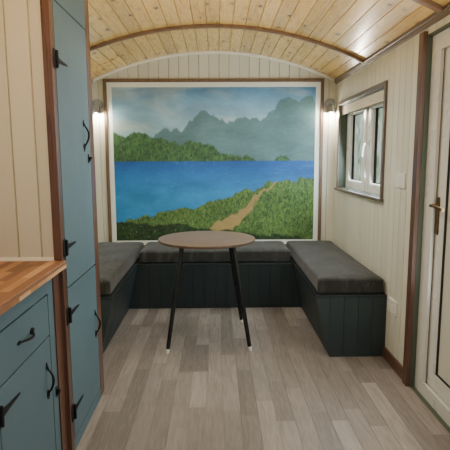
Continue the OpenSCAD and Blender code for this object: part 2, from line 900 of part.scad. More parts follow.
module worktop() {
    color("peru") room() slab(-half_w, worktop_x, unit_far, unit_near + 10, unit_top, worktop_h);
}

// Sides and bottom of the unit, and the runners that the drawer slides on
module unit_case() {
    x1 = unit_x - door_t;
    color("cadetblue") room() {
        for (d = [unit_far, unit_near - panel_t]) slab(-half_w, x1, d, d + panel_t, 0, unit_top);
        slab(-half_w, x1, unit_far, unit_near, plinth_h, plinth_h + panel_t);
        slab(-half_w, x1 - gap, unit_far, drawer_far + 10, drawer_z - 20, drawer_z - joint_gap);
        slab(-half_w, x1 - gap, drawer_near - 10, unit_near, drawer_z - 20, drawer_z - joint_gap);
    }
}

// The unit's face: plinth, stiles, rails, and the brown strip on the far stile
module unit_front() {
    x0 = unit_x - door_t;
    color("cadetblue") room() {
        slab(x0, unit_x, unit_far, unit_far + unit_stile, 0, unit_top);
        slab(x0, unit_x, unit_door_near + gap, unit_near, 0, unit_top);
        slab(x0, unit_x, unit_far, unit_near, 0, plinth_h);
        slab(x0, unit_x, unit_far, unit_near, drawer_top + gap, unit_top);
    }
}

// Front and open box
module drawer() {
    x0 = unit_x - drawer_len;
    side_t = 12;
    box_top = drawer_top - 22;
    color("cadetblue") room() {
        slab(unit_x - door_t, unit_x, unit_door_far, unit_door_near, unit_split + gap / 2, drawer_top);
        difference() {
            slab(x0, unit_x - door_t, drawer_far, drawer_near, drawer_z, box_top);
            slab(x0 + side_t, unit_x - door_t, drawer_far + side_t, drawer_near - side_t,
                drawer_z + 8, box_top + 1);
        }
    }
}

module drawer_pull() {
    mid = (unit_door_far + unit_door_near) / 2;
    z = (unit_split + drawer_top) / 2;
    color("black") room() translate([0, mid, z]) rotate([90, 0, 0]) pull(unit_x, 0, 0);
}

module unit_door() {
    color("cadetblue") room() slab(unit_x - door_t, unit_x, unit_door_far, unit_door_near,
        plinth_h + gap, unit_split - gap / 2);
}

module unit_door_iron() {
    color("black") room() {
        for (z = unit_hinges) strap(unit_x, unit_hinge_d, z);
        pull(unit_x, unit_door_far + pull_in, lower_pull_z);
    }
}

// Fixed halves of the strap hinges
module hinge_plates() {
    color("black") room() {
        for (z = concat(lower_hinges, upper_hinges)) hinge_plate(cup_x, hinge_d, z);
        for (z = unit_hinges) hinge_plate(unit_x, unit_hinge_d, z);
    }
}

floor_deck();
floor_boards();
end_wall();
left_wall();
right_wall();
right_wall_over_door();
right_wall_front();
roof_lining();
roof_cover();
roof_hoops();
cornices();
arch_bead();
skirtings();
door_posts();
door_lining();
door_frame();
door_leaf();
door_panel();
door_handle();
window_trims();
window_sills();
window_frames();
window_glass();
window_blinds();
mural_board();
mural_frame();
wall_lamps();
wall_plates();
bench_fronts();
bench_ends();
bench_tops();
cushion_left();
cushion_back();
cushion_right();
table_top();
table_legs();
table_feet();
cupboard_sides();
cupboard_strips();
cupboard_rails();
cupboard_upper_door();
cupboard_upper_iron();
cupboard_lower_door();
cupboard_lower_iron();
worktop();
unit_case();
unit_front();
drawer();
drawer_pull();
unit_door();
unit_door_iron();
hinge_plates();
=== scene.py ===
import random
from math import asin, ceil, cos, floor, hypot, pi, radians, sin, sqrt

import bmesh
import bpy
from mathutils import Matrix, Vector
from mathutils.bvhtree import BVHTree


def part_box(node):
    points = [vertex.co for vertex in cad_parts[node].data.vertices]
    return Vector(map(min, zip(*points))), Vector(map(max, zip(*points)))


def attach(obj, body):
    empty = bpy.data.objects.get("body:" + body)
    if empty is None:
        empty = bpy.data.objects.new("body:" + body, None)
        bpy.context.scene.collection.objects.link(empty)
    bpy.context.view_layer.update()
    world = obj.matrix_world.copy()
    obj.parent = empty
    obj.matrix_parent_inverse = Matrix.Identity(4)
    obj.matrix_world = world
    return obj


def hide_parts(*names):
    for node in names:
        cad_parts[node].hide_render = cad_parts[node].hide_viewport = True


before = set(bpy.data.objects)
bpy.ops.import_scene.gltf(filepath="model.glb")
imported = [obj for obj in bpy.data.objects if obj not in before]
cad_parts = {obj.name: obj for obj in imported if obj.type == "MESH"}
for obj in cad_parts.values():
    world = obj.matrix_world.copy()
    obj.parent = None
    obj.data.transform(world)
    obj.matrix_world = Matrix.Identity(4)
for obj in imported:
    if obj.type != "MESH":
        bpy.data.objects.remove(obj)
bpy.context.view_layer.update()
random.seed(11)
SCENE = bpy.context.scene

# Room coordinates in mm: x across, d from the end wall to the open front, z above the floor boards
END_Y = round(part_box("end_wall")[0].y * 1000, 1)
FLOOR_Z = round(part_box("floor_boards")[1].z * 1000, 1)
X, Y, Z = (1, 0, 0), (0, 1, 0), (0, 0, 1)


def point(x, d, z):
    """A point of the room, in metres in the shared frame."""
    return Vector((x / 1000, (END_Y - d) / 1000, (z + FLOOR_Z) / 1000))


def room_box(node):
    """A CAD node's box in the room: low and high x, low and high d, low and high z."""
    lo, hi = (1000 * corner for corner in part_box(node))
    sides = (lo.x, hi.x, END_Y - hi.y, END_Y - lo.y, lo.z - FLOOR_Z, hi.z - FLOOR_Z)
    return tuple(round(side, 1) for side in sides)


_, HALF, _, LENGTH, BASE_Z, _ = room_box("floor_boards")
OUTER = room_box("end_wall")[1]
WALL = OUTER - HALF
DOOR_D0, DOOR_D1, _, DOOR_TOP = room_box("door_frame")[2:]
LEFT_SHIFT = 70.0  # the left window lies this much further from the end wall
FRAMES = room_box("window_frames")[2:]
WINDOW = (FRAMES[0], FRAMES[1] - LEFT_SHIFT, FRAMES[2], FRAMES[3])
CUPBOARD_D0, CUPBOARD_D1 = room_box("cupboard_sides")[2:4]
CUPBOARD_FACE = room_box("cupboard_upper_door")[1]
UNIT_FACE = room_box("unit_door")[1]

ARCH_R, ARCH_Z = 2517.8, -299.8  # the ceiling's curve: its radius, and the height of its centre
LINING_R = ARCH_R + 18.0
COVER_R = ARCH_R + 80.0
FIRST_HOOP, HOOP_PITCH = 860.0, 1212.0
BOARD = 90.0
NARROWEST = 8.0  # a narrower strip of board joins the next one
SLOT_SHARE, SLOT_DEPTH = 0.38, 2.3  # slot between boards, against the width of their sloped edges


def arch(x, r):
    """Height of one of the roof's curves at x."""
    return ARCH_Z + sqrt(r * r - x * x)


# Materials

def rgb(code):
    """Linear colour of a six-digit screen colour."""
    parts = [int(code[i:i + 2], 16) / 255 for i in (0, 2, 4)]
    return tuple(c / 12.92 if c <= 0.04045 else ((c + 0.055) / 1.055) ** 2.4 for c in parts) + (1.0,)


def shown(name, data):
    """A new object of the scene."""
    obj = bpy.data.objects.new(name, data)
    SCENE.collection.objects.link(obj)
    return obj


class Finish:
    """One node material, built step by step."""

    def __init__(self, name, roughness=0.5, metallic=0.0):
        self.material = bpy.data.materials.new(name)
        self.material.use_nodes = True
        self.nodes = self.material.node_tree.nodes
        self.links = self.material.node_tree.links
        self.shader = self.nodes["Principled BSDF"]
        self.give({"Roughness": roughness, "Metallic": metallic})
        self.place = self.nodes.new("ShaderNodeTexCoord").outputs["Object"]
        self.island = self.nodes.new("ShaderNodeNewGeometry").outputs["Random Per Island"]

    def put(self, node, socket, value):
        if isinstance(value, bpy.types.NodeSocket):
            self.links.new(value, node.inputs[socket])
        else:
            node.inputs[socket].default_value = rgb(value) if isinstance(value, str) else value

    def give(self, inputs):
        """Sets inputs of the surface itself."""
        for socket, value in inputs.items():
            self.put(self.shader, socket, value)

    def add(self, kind, inputs, output=0, **settings):
        node = self.nodes.new("ShaderNode" + kind)
        for key, value in settings.items():
            setattr(node, key, value)
        for socket, value in inputs.items():
            self.put(node, socket, value)
        return node.outputs[output]

    def where(self, x=1.0, y=1.0, z=1.0, by_piece=False):
        """The object's own coordinates, stretched; by_piece moves each board's by its own amount."""
        place = self.place
        if by_piece:
            shift = self.add("VectorMath", {0: (17.3, 31.7, 23.1), "Scale": self.island},
                             operation="SCALE")
            place = self.add("VectorMath", {0: place, 1: shift}, operation="ADD")
        return self.add("VectorMath", {0: place, 1: (x, y, z)}, operation="MULTIPLY")

    def grain(self, along, length):
        """Coordinates for wood grain, which changes more slowly along one axis."""
        scale = [length if axis == along else 1.0 for axis in range(3)]
        return self.where(*scale, by_piece=True)

    def noise(self, where, scale, detail=4.0, distortion=0.0):
        return self.add("TexNoise", {"Vector": where, "Scale": scale, "Detail": detail,
                                     "Distortion": distortion})

    def ramp(self, value, stops, blend="LINEAR"):
        out = self.add("ValToRGB", {0: value})
        out.node.color_ramp.interpolation = blend
        steps = out.node.color_ramp.elements
        for i, (at, colour) in enumerate(stops):
            step = steps[i] if i < 2 else steps.new(at)
            step.position = at
            step.color = rgb(colour)
        return out

    def mix(self, share, a, b):
        node = self.nodes.new("ShaderNodeMix")
        node.data_type = "RGBA"
        for socket, value in ((0, share), (6, a), (7, b)):
            self.put(node, socket, value)
        return node.outputs[2]

    def over(self, base, value, a, b, most, colour):
        """base, with up to most of another colour as value goes from a to b."""
        return self.mix(self.span(value, a, b, 0.0, most), base, colour)

    def sum(self, a, b, operation="ADD"):
        return self.add("Math", {0: a, 1: b}, operation=operation)

    def times(self, a, b):
        return self.sum(a, b, "MULTIPLY")

    def span(self, value, a, b, c=0.0, d=1.0):
        """value moved from the range a to b into the range c to d."""
        return self.add("MapRange", {0: value, 1: a, 2: b, 3: c, 4: d})

    def bump(self, height, strength, distance):
        self.give({"Normal": self.add("Bump", {"Height": height, "Strength": strength,
                                               "Distance": distance})})

    def colour(self, value):
        self.give({"Base Color": value})

    def roughness(self, value, low, high, end=0.7):
        self.give({"Roughness": self.span(value, 0.3, end, low, high)})

    def value(self, colour, amount):
        """colour made lighter or darker by an amount."""
        return self.add("HueSaturation", {"Color": colour, "Value": amount})

    def tone(self, colour, amount):
        """colour made lighter or darker from board to board."""
        return self.value(colour, self.span(self.island, 0.0, 1.0, 1.0 - amount, 1.0 + amount))


def wood(name, along, dark, light, streak, rough=0.45, tone=0.08, knots=False, coat=0.0):
    """Planed wood with its grain along one axis, and knots if it is pine."""
    f = Finish(name, rough)
    rings = f.noise(f.grain(along, 0.07), 26.0, 5.0, 1.6)
    fibre = f.noise(f.grain(along, 0.02), 420.0, 3.0)
    colour = f.ramp(rings, [(0.32, dark), (0.5, light), (0.62, light), (0.75, dark)])
    colour = f.tone(f.over(colour, fibre, 0.35, 0.75, 0.35, streak), tone)
    if knots:
        cell = f.add("TexVoronoi", {"Vector": f.grain(along, 0.6), "Scale": 11.0})
        eye = f.span(cell, 0.08, 0.15, 1.0, 0.0)
        halo = f.span(cell, 0.12, 0.34, 0.65, 0.0)
        colour = f.mix(eye, f.mix(halo, colour, streak), "32190a")
    f.colour(colour)
    f.bump(f.sum(fibre, rings), 0.18, 0.0006)
    f.roughness(fibre, rough - 0.08, rough + 0.1, 0.8)
    if coat:
        f.give({"Coat Weight": coat, "Coat Roughness": 0.22})
    return f.material


def painted(name, along, base, worn, rough=0.45, tone=0.03):
    """Paint over wood: faint grain and brush marks, and lighter wear on the edges."""
    f = Finish(name, rough)
    brush = f.noise(f.grain(along, 0.04), 160.0)
    cloud = f.noise(f.where(by_piece=True), 5.0, 3.0)
    colour = f.over(base, cloud, 0.3, 0.7, 0.18, worn)
    colour = f.tone(f.over(colour, brush, 0.55, 0.8, 0.12, worn), tone)
    smooth = f.add("Bevel", {"Radius": 0.0025}, samples=4)
    flat = f.nodes.new("ShaderNodeNewGeometry").outputs["Normal"]
    edge = f.add("VectorMath", {0: smooth, 1: flat}, output=1, operation="DOT_PRODUCT")
    patch = f.noise(f.where(by_piece=True), 38.0)
    wear = f.times(f.span(edge, 0.985, 0.9, 0.0, 0.7), f.span(patch, 0.45, 0.7))
    f.colour(f.mix(wear, colour, worn))
    f.bump(brush, 0.12, 0.0004)
    f.roughness(cloud, rough - 0.06, rough + 0.08)
    return f.material


def moulded(name, base, rough=0.3, tint="cfcdc0"):
    """Smooth moulded plastic with a faint texture and soiling."""
    f = Finish(name, rough)
    cloud = f.noise(f.where(), 7.0, 3.0)
    f.colour(f.over(base, cloud, 0.35, 0.75, 0.35, tint))
    f.bump(f.noise(f.where(), 900.0, 2.0), 0.05, 0.0002)
    f.roughness(cloud, rough - 0.05, rough + 0.1)
    return f.material


def metal(name, base, worn, rough, metallic=1.0, bumps=0.1, scale=300.0):
    """Metal with fine marks, and a second tone where it is rubbed."""
    f = Finish(name, rough, metallic)
    marks = f.noise(f.where(), scale)
    f.colour(f.over(base, f.noise(f.where(), 30.0), 0.4, 0.7, 0.6, worn))
    f.bump(marks, bumps, 0.0005)
    f.roughness(marks, rough - 0.06, rough + 0.1)
    return f.material


def cushion_cloth():
    """Brushed upholstery cloth: short pile, twill ribs, soft mottling and worn crests."""
    f = Finish("cushion_cloth", 0.95)
    pile = f.noise(f.where(), 700.0, 3.0)
    weave = f.add("TexWave", {"Vector": f.where(), "Scale": 170.0, "Distortion": 1.5, "Detail": 2.0})
    crush = f.noise(f.where(), 9.0, 4.0, 0.8)
    worn = f.noise(f.where(2.2, 0.9), 6.5, 6.0, 1.6)
    colour = f.ramp(crush, [(0.3, "1e1f1c"), (0.62, "2f302c")])
    colour = f.over(colour, pile, 0.45, 0.8, 0.5, "3e3f38")
    colour = f.over(colour, worn, 0.5, 0.68, 0.55, "4d4f48")
    f.colour(f.over(colour, weave, 0.4, 0.9, 0.18, "1c1d1b"))
    f.bump(f.sum(pile, f.times(weave, 0.5)), 0.35, 0.0012)
    f.give({"Sheen Weight": 0.15, "Sheen Roughness": 0.5})
    return f.material


def linen(name, base, shade):
    """Plain woven blind cloth."""
    f = Finish(name, 0.85)
    thread = {"Vector": f.where(), "Scale": 420.0, "Distortion": 0.6}
    warp, weft = (f.add("TexWave", thread, bands_direction=axis) for axis in "YZ")
    slub = f.noise(f.where(y=0.15), 120.0, 3.0)
    f.colour(f.over(base, slub, 0.4, 0.8, 0.6, shade))
    f.bump(f.sum(warp, weft), 0.25, 0.0004)
    return f.material


def pane():
    """Window glass: clear, with soft smears; it glows with a painted view of leaves and sky, as painted
    daylight from outside.
    """
    f = Finish("window_pane", 0.04)
    smear = f.noise(f.where(), 11.0, 4.0, 1.0)
    leaves = f.noise(f.where(z=0.45), 14.0, 5.0, 0.8)
    painted_daylight_view = f.ramp(leaves, [(0.36, "5f7f5e"), (0.47, "9db89a"), (0.56, "cfe0e2"), (0.66, "e6f0f4")])
    f.colour(f.over(painted_daylight_view, smear, 0.3, 0.8, 0.4, "dfe9d4"))
    f.roughness(smear, 0.02, 0.12, 0.8)
    # Painted light: the painted view of leaves and sky glows on the glass, standing in for daylight through
    # it.
    f.give({"Alpha": 0.6, "Emission Color": painted_daylight_view, "Emission Strength": 0.42})
    return f.material


def glowing(name, colour, strength):
    """A lit bulb."""
    f = Finish(name, 0.4)
    f.colour(f.over(colour, f.noise(f.where(), 60.0, 2.0), 0.3, 0.7, 0.3, "fff6e0"))
    f.give({"Emission Color": colour, "Emission Strength": strength})
    return f.material


def mural_paint():
    """A made-up painted view in bands: mountains behind a lake, and a meadow with a track and flowers."""
    f = Finish("mural_paint", 0.55)
    axes = f.add("SeparateXYZ", {0: f.place}).node.outputs
    across, up = axes[0], axes[2]
    half_width, low, top = 0.915, 0.642, 2.028
    height = f.span(up, 0.59, 2.05)
    ridge = f.noise(f.where(z=0.25), 2.3, 6.0, 0.3)
    shore = f.noise(f.where(z=0.4), 4.1, 4.0, 0.4)
    strokes = f.noise(f.where(0.45, 1.0, 2.0), 38.0, 6.0, 1.4)
    dabs = f.noise(f.where(z=0.6), 60.0, 5.0, 1.0)

    def waved(wave, wobble):
        return f.times(f.sum(wave, 0.5, "SUBTRACT"), wobble)

    def under(level, lean, wave, wobble, soft=0.006):
        """Share that lies under a wavy line across the picture."""
        line = f.sum(f.sum(f.times(across, lean), level), waved(wave, wobble))
        return f.span(f.sum(line, height, "SUBTRACT"), -soft, soft)

    def leafy(dark, light):
        return f.over(dark, dabs, 0.35, 0.65, 1.0, light)

    sky = f.ramp(height, [(0.5, "a9c4bb"), (0.76, "83a9b3"), (1.0, "4f83ab")])
    cloud = f.noise(f.where(0.5, 1.0, 1.9), 2.2, 6.0, 0.7)
    sky = f.over(sky, cloud, 0.48, 0.68, 0.55, "bfc9bd")
    sky = f.over(sky, strokes, 0.5, 0.8, 0.25, "9fbcc0")
    far_hills = f.mix(strokes, "3f6167", "628482")
    picture = f.mix(under(0.76, 0.10, ridge, 0.62), sky, far_hills)
    picture = f.mix(under(0.60, -0.16, ridge, 0.42), picture, leafy("1f4029", "4c7440"))
    lake = f.over("2d86bd", height, 0.3, 0.56, 1.0, "0f4c98")
    lake = f.over(lake, strokes, 0.58, 0.76, 0.3, "7fb4cc")
    picture = f.mix(under(0.535, 0.0, shore, 0.012, 0.003), picture, lake)
    meadow = under(0.30, 0.16, shore, 0.22)
    picture = f.mix(meadow, picture, leafy("2a4f2a", "6c8a44"))
    middle = f.sum(f.times(height, 1.6), waved(shore, 0.5))
    aside = f.sum(f.sum(f.sum(across, 0.12), middle, "SUBTRACT"), 0.0, "ABSOLUTE")
    width = f.span(height, 0.0, 0.34, 0.15, 0.012)
    track = f.times(f.span(f.sum(width, aside, "SUBTRACT"), -0.012, 0.012), meadow)
    picture = f.mix(track, picture, f.mix(strokes, "b7a068", "957f4d"))
    picture = f.mix(under(0.10, -0.07, shore, 0.16), picture, leafy("12291a", "355128"))
    flowers = f.add("TexVoronoi", {"Vector": f.where(), "Scale": 30.0})
    bloom = f.times(f.span(flowers, 0.16, 0.1), f.span(height, 0.26, 0.12))
    picture = f.mix(f.times(bloom, f.span(dabs, 0.48, 0.55)), picture, "b9b48c")
    shade = f.noise(f.where(z=1.8), 3.4, 5.0, 0.5)
    picture = f.value(picture, f.span(shade, 0.3, 0.7, 0.72, 1.12))
    within = f.times(f.sum(up, low, "GREATER_THAN"), f.sum(up, top, "LESS_THAN"))
    inside = f.times(f.sum(f.sum(across, 0.0, "ABSOLUTE"), half_width, "LESS_THAN"), within)
    f.colour(f.mix(inside, "e3e6d8", picture))
    f.bump(f.times(strokes, inside), 0.25, 0.0008)
    return f.material


def mixed_boards(f, scales, tones, blend, dark, light):
    """Boards of mixed tones, with darker rings and lighter fibres; gives their colour too."""
    rings = f.noise(f.grain(1, 0.09), scales[0], 6.0, scales[2])
    fibre = f.noise(f.grain(1, 0.03), scales[1], 3.0)
    colour = f.ramp(f.island, tones, blend)
    colour = f.over(f.over(colour, rings, *dark), fibre, *light)
    return rings, fibre, colour


def floor_oak():
    """Worn greige oak planks."""
    f = Finish("floor_oak", 0.5)
    tones = [(0.0, "696159"), (0.25, "8c837a"), (0.5, "7a7169"), (0.75, "a2988e"), (1.0, "837a70")]
    rings, fibre, colour = mixed_boards(f, (30.0, 340.0, 2.2), tones, "LINEAR",
                                        (0.38, 0.7, 0.38, "5a524a"), (0.5, 0.8, 0.4, "b3aaa0"))
    f.colour(f.over(colour, f.noise(f.where(), 4.0), 0.45, 0.75, 0.25, "6b645d"))
    f.bump(f.sum(fibre, rings), 0.3, 0.0007)
    f.roughness(rings, 0.38, 0.58)
    return f.material


def stave_wood():
    """Oiled wood-block staves of mixed tones."""
    f = Finish("stave_wood", 0.35)
    tones = [(0.0, "80583a"), (0.16, "c79a6c"), (0.33, "9c6e46"), (0.5, "d3ab7c"), (0.66, "8b6041"),
             (0.83, "b6875a")]
    _, fibre, colour = mixed_boards(f, (34.0, 380.0, 1.6), tones, "CONSTANT",
                                    (0.4, 0.7, 0.3, "6d4529"), (0.5, 0.8, 0.3, "dfb687"))
    f.colour(colour)
    f.bump(fibre, 0.15, 0.0005)
    f.roughness(fibre, 0.42, 0.58, 0.8)
    return f.material


BROWN = ("482d22", "674838", "341f15")
CREAM = painted("cream_boards", 2, "d4d1bd", "e6e4d4", 0.42, 0.05)
BROWN_UP = wood("brown_wood", 2, *BROWN, 0.38, 0.06, coat=0.2)
BROWN_LONG = wood("brown_wood_long", 1, *BROWN, 0.4, 0.06, coat=0.15)
EAVES_LONG = wood("eaves_wood", 1, "5c4b3c", "79654f", "483a2e", 0.4, 0.06, coat=0.15)
EAVES_ACROSS = wood("hoop_wood", 0, "66503d", "836750", "503d2e", 0.42, 0.06)
TRIM = wood("trim_wood", 2, "54463b", "716156", "40352d", 0.4, 0.06, coat=0.2)
FRAME = wood("frame_wood", 2, "5a4535", "7a614b", "463426", 0.42, 0.06)
# The beads use a lighter copy of the cream wall paint: a painted highlight, so their thin edges read as lit
# lines.
BEAD_PAINTED_HIGHLIGHT = painted("bead_painted_highlight", 0, "f1eddd", "f8f5ea", 0.4)
PINE = wood("pine_ceiling", 1, "c29852", "deb96c", "a67f42", 0.3, 0.16, True, 0.6)
DECK = wood("deck_timber", 1, "6b4a2e", "8e6a45", "51361f", 0.7, 0.1)
SHEET = metal("roof_sheet", "3f4a45", "59635c", 0.5, 0.3, 0.15, 90.0)
TEAL = painted("teal_paint", 2, "506870", "6a8086", 0.55, 0.02)
BENCH = painted("bench_paint", 2, "293638", "3c4a4a", 0.5, 0.05)
# The bench tops use a darker copy of the bench paint: painted shade, as under the cushions.
BENCH_TOP_PAINTED_SHADE = painted("bench_top_painted_shade", 1, "1d2627", "2b3535", 0.6, 0.05)
REVEAL = painted("reveal_paint", 2, "4c5647", "636d5b", 0.5)
WHITE = moulded("white_frame", "e4e3da", 0.28)
PANEL = moulded("door_panel", "dedccb", 0.4, "c8c5b2")
GASKET = moulded("gasket", "1d1e1f", 0.6, "35373a")
SWITCH = moulded("switch_white", "ece9dc", 0.25, "d2cebd")
BRASS = metal("brass", "85714d", "5c4d36", 0.36)
STEEL = metal("lamp_metal", "a9adb0", "8d9193", 0.3)
BLACK = metal("black_metal", "17181a", "2a2b2d", 0.4, 0.4)
IRON = metal("black_iron", "121314", "26272a", 0.5, 0.5, 0.35, 160.0)
FOOT = moulded("foot_white", "e6e4de", 0.4)
OAK_TOP = wood("table_wood", 0, "65533f", "75634d", "544331", 0.4, 0.05)
# The table's rim uses a darker copy of the table wood: painted shade on its side face.
OAK_EDGE_PAINTED_SHADE = wood("table_edge_painted_shade", 0, "4c3a2b", "665036", "35281c", 0.5, 0.05)
FLOOR = floor_oak()
STAVES = stave_wood()
CLOTH = cushion_cloth()
BLIND = linen("blind_cloth", "ded3b8", "c4b694")
GLASS = pane()
BULB = glowing("bulb_glow", "fff2d6", 14.0)
MURAL = mural_paint()

# The record's slot of each material that isn't named after it
SLOTS = {"floor_oak": "floor_boards", "eaves_wood": "brown_wood", "table_edge_painted_shade": "table_wood",
         "stave_wood": "worktop_wood", "bead_painted_highlight": "cream_boards", "gasket": "black_metal",
         "bulb_glow": "lamp_metal", "switch_white": "white_frame", "reveal_paint": "teal_paint"}


# Shapes: each gives a list of points in the room and the faces over them

def prism(a, b):
    """Solid between two outlines with the same number of points."""
    n = len(a)
    faces = [tuple(range(n))[::-1], tuple(range(n, 2 * n))]
    faces += [(i, (i + 1) % n, n + (i + 1) % n, n + i) for i in range(n)]
    return list(a) + list(b), faces


def drawn(section, d0, d1):
    """A cross-section in x and z drawn along the hut."""
    return prism([(x, d0, z) for x, z in section], [(x, d1, z) for x, z in section])


def outline(points, place, t0, t1):
    """A flat outline of (u, z) with thickness from t0 to t1."""
    return prism([place(u, t0, z) for u, z in points], [place(u, t1, z) for u, z in points])


def rounded_outline(u0, u1, z0, z1, r, steps=4):
    points = []
    centres = ((u1 - r, z0 + r, -90), (u1 - r, z1 - r, 0), (u0 + r, z1 - r, 90), (u0 + r, z0 + r, 180))
    for cu, cz, start in centres:
        for k in range(steps + 1):
            a = radians(start + 90 * k / steps)
            points.append((cu + r * cos(a), cz + r * sin(a)))
    return points


def pad(place, u, z, half_u, half_z, r, t0, t1):
    """Flat plate with rounded corners, round its middle at (u, z)."""
    return outline(rounded_outline(u - half_u, u + half_u, z - half_z, z + half_z, r), place, t0, t1)


def circle(count):
    """The angles of evenly spaced points on a circle."""
    return [2 * pi * i / count for i in range(count)]


def lofted(rings, closed=False):
    """Skin over a row of rings, capped at its ends unless it closes on itself."""
    n = len(rings[0])
    points = [p for ring in rings for p in ring]
    faces = []
    for k in range(len(rings) if closed else len(rings) - 1):
        a, b = k * n, ((k + 1) % len(rings)) * n
        faces += [(a + i, a + (i + 1) % n, b + (i + 1) % n, b + i) for i in range(n)]
    if not closed:
        faces.append(tuple(range(n))[::-1])
        faces.append(tuple(range(len(points) - n, len(points))))
    return points, faces


def turned(profile, at, axis, sides=32):
    """A profile of (radius, height) turned round an axis through a point."""
    axis = Vector(axis).normalized()
    u = axis.orthogonal().normalized()
    v = axis.cross(u)
    return lofted([[Vector(at) + axis * h + (u * cos(t) + v * sin(t)) * max(r, 0.01)
                    for t in circle(sides)] for r, h in profile])


def tube(path, radii, sides=12, flat=1.0, side=None):
    """A round or flattened bar along a path."""
    path = [Vector(p) for p in path]
    if not isinstance(radii, (list, tuple)):
        radii = [radii] * len(path)
    u = (Vector(side) if side else (path[1] - path[0]).orthogonal()).normalized()
    rings = []
    for i, p in enumerate(path):
        along = (path[min(i + 1, len(path) - 1)] - path[max(i - 1, 0)]).normalized()
        u = (u - along * u.dot(along)).normalized()
        v = along.cross(u)
        rings.append([p + (u * cos(t) * flat + v * sin(t)) * radii[i] for t in circle(sides)])
    return lofted(rings)


def smooth_path(points, steps=6):
    """Points along a smooth curve through the given points."""
    pts = [Vector(p) for p in points]
    pts = [2 * pts[0] - pts[1]] + pts + [2 * pts[-1] - pts[-2]]
    out = []
    for i in range(1, len(pts) - 2):
        p0, p1, p2, p3 = pts[i - 1:i + 3]
        for k in range(steps):
            t = k / steps
            out.append(0.5 * (2 * p1 + (p2 - p0) * t + (2 * p0 - 5 * p1 + 4 * p2 - p3) * t * t
                              + (3 * p1 - p0 - 3 * p2 + p3) * t ** 3))
    out.append(pts[-2])
    return out


def framed(u0, u1, z0, z1, profile, place):
    """Mitred ring round an opening: profile lists (distance inwards, depth)."""
    corners = ((u0, z0, 1, 1), (u1, z0, -1, 1), (u1, z1, -1, -1), (u0, z1, 1, -1))
    rings = [[place(u + su * i, t, z + sz * i) for i, t in profile] for u, z, su, sz in corners]
    return lofted(rings, closed=True)


def mirrored(shapes):
    return [([(-x, d, z) for x, d, z in points], faces) for points, faces in shapes]


def facing(x):
    """Places a flat shape on a face that looks along +x: u runs along the hut, t out of the face."""
    return lambda u, t, z: (x + t, u, z)


def screw(at, axis, r=3.2):
    """Low domed screw head."""
    head = [(0, -0.5), (r, -0.5), (r, 0.3), (r * 0.8, 0.9), (r * 0.35, 1.2), (0, 1.2)]
    return turned(head, at, axis, 12)


def rounded(obj, width, segments=2):
    edge = obj.modifiers.new("edges", "BEVEL")
    edge.width = width / 1000
    edge.segments = segments
    edge.limit_method = "ANGLE"
    edge.angle_limit = radians(35)
    edge.harden_normals = True


def finish_node(node, material, bevel=0.0):
    """Gives a CAD node its material, and eased edges where they show."""
    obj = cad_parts[node]
    obj.data.materials.clear()
    obj.data.materials.append(material)
    if bevel:
        weld = obj.modifiers.new("weld", "WELD")
        weld.merge_threshold = 1e-5
        rounded(obj, bevel)


def placed(obj, material, node=None, body="hut"):
    """Puts an object on its body, in place of the CAD node it stands for."""
    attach(obj, body)
    if node:
        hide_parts(node)
        finish_node(node, material)
    name = material.name.split(".")[0]
    SLOTS.get(name, name)


def piece(name, shapes, material, node=None, body="hut", bevel=0.0, segments=2):
    """One object of the model from shapes given in room coordinates."""
    mesh = bpy.data.meshes.new(name)
    points, faces = [], []
    for shape_points, shape_faces in shapes:
        base = len(points)
        points += [point(*p) for p in shape_points]
        faces += [tuple(base + i for i in f) for f in shape_faces]
    mesh.from_pydata(points, [], faces)
    work = bmesh.new()
    work.from_mesh(mesh)
    bmesh.ops.dissolve_degenerate(work, dist=1e-6, edges=work.edges)
    bmesh.ops.recalc_face_normals(work, faces=work.faces)
    work.to_mesh(mesh)
    work.free()
    obj = shown(name, mesh)
    mesh.materials.append(material)
    if bevel:
        rounded(obj, bevel, segments)
    mesh.shade_smooth()
    mesh.set_sharp_from_angle(angle=radians(34))
    placed(obj, material, node, body)
    return obj


# Shell and roof

def board(u0, u1, thick, groove, left=True, right=True, back=True):
    """Cross-section of a board: sloped long edges, and a narrow slot down to its tongue."""
    slot, deep = groove * SLOT_SHARE, groove * SLOT_DEPTH
    front = [(u0, 0.0)]
    if left:
        front = [(u0, deep), (u0 + slot, deep), (u0 + slot, groove), (u0 + groove, 0.0)]
    if right:
        front += [(u1 - groove, 0.0), (u1 - slot, groove), (u1 - slot, deep), (u1, deep)]
    else:
        front += [(u1, 0.0)]
    rear = [(u1, thick), (u0, thick)]
    if right and back:
        rear[:1] = [(u1, thick - groove), (u1 - groove, thick)]
    if left and back:
        rear[-1:] = [(u0 + groove, thick), (u0, thick - groove)]
    return front + rear


def upright_boards(u0, u1, thick, place, bottom, top, hole=None, pitch=BOARD, start=0.0):
    """Upright boards over a wall, with an optional opening (u0, u1, z0, z1)."""
    groove = 4.0
    first, last = floor((u0 - start) / pitch), ceil((u1 - start) / pitch)
    joints = (start + k * pitch for k in range(first, last))
    seams = {u0, u1} | {u for u in joints if u0 + NARROWEST < u < u1 - NARROWEST}
    cuts = sorted(seams | set(hole[:2] if hole else ()))
    shapes = []
    for a, b in zip(cuts, cuts[1:]):
        section = board(a, b, thick, groove, a in seams, b in seams)
        spans = [(bottom, None)]
        if hole and a >= hole[0] and b <= hole[1]:
            spans = [(bottom, hole[2]), (hole[3], None)]
        for z0, z1 in spans:
            low = [place(u, t, z0) for u, t in section]
            high = [place(u, t, top(u, t) if z1 is None else z1) for u, t in section]
            shapes.append(prism(low, high))
    return shapes


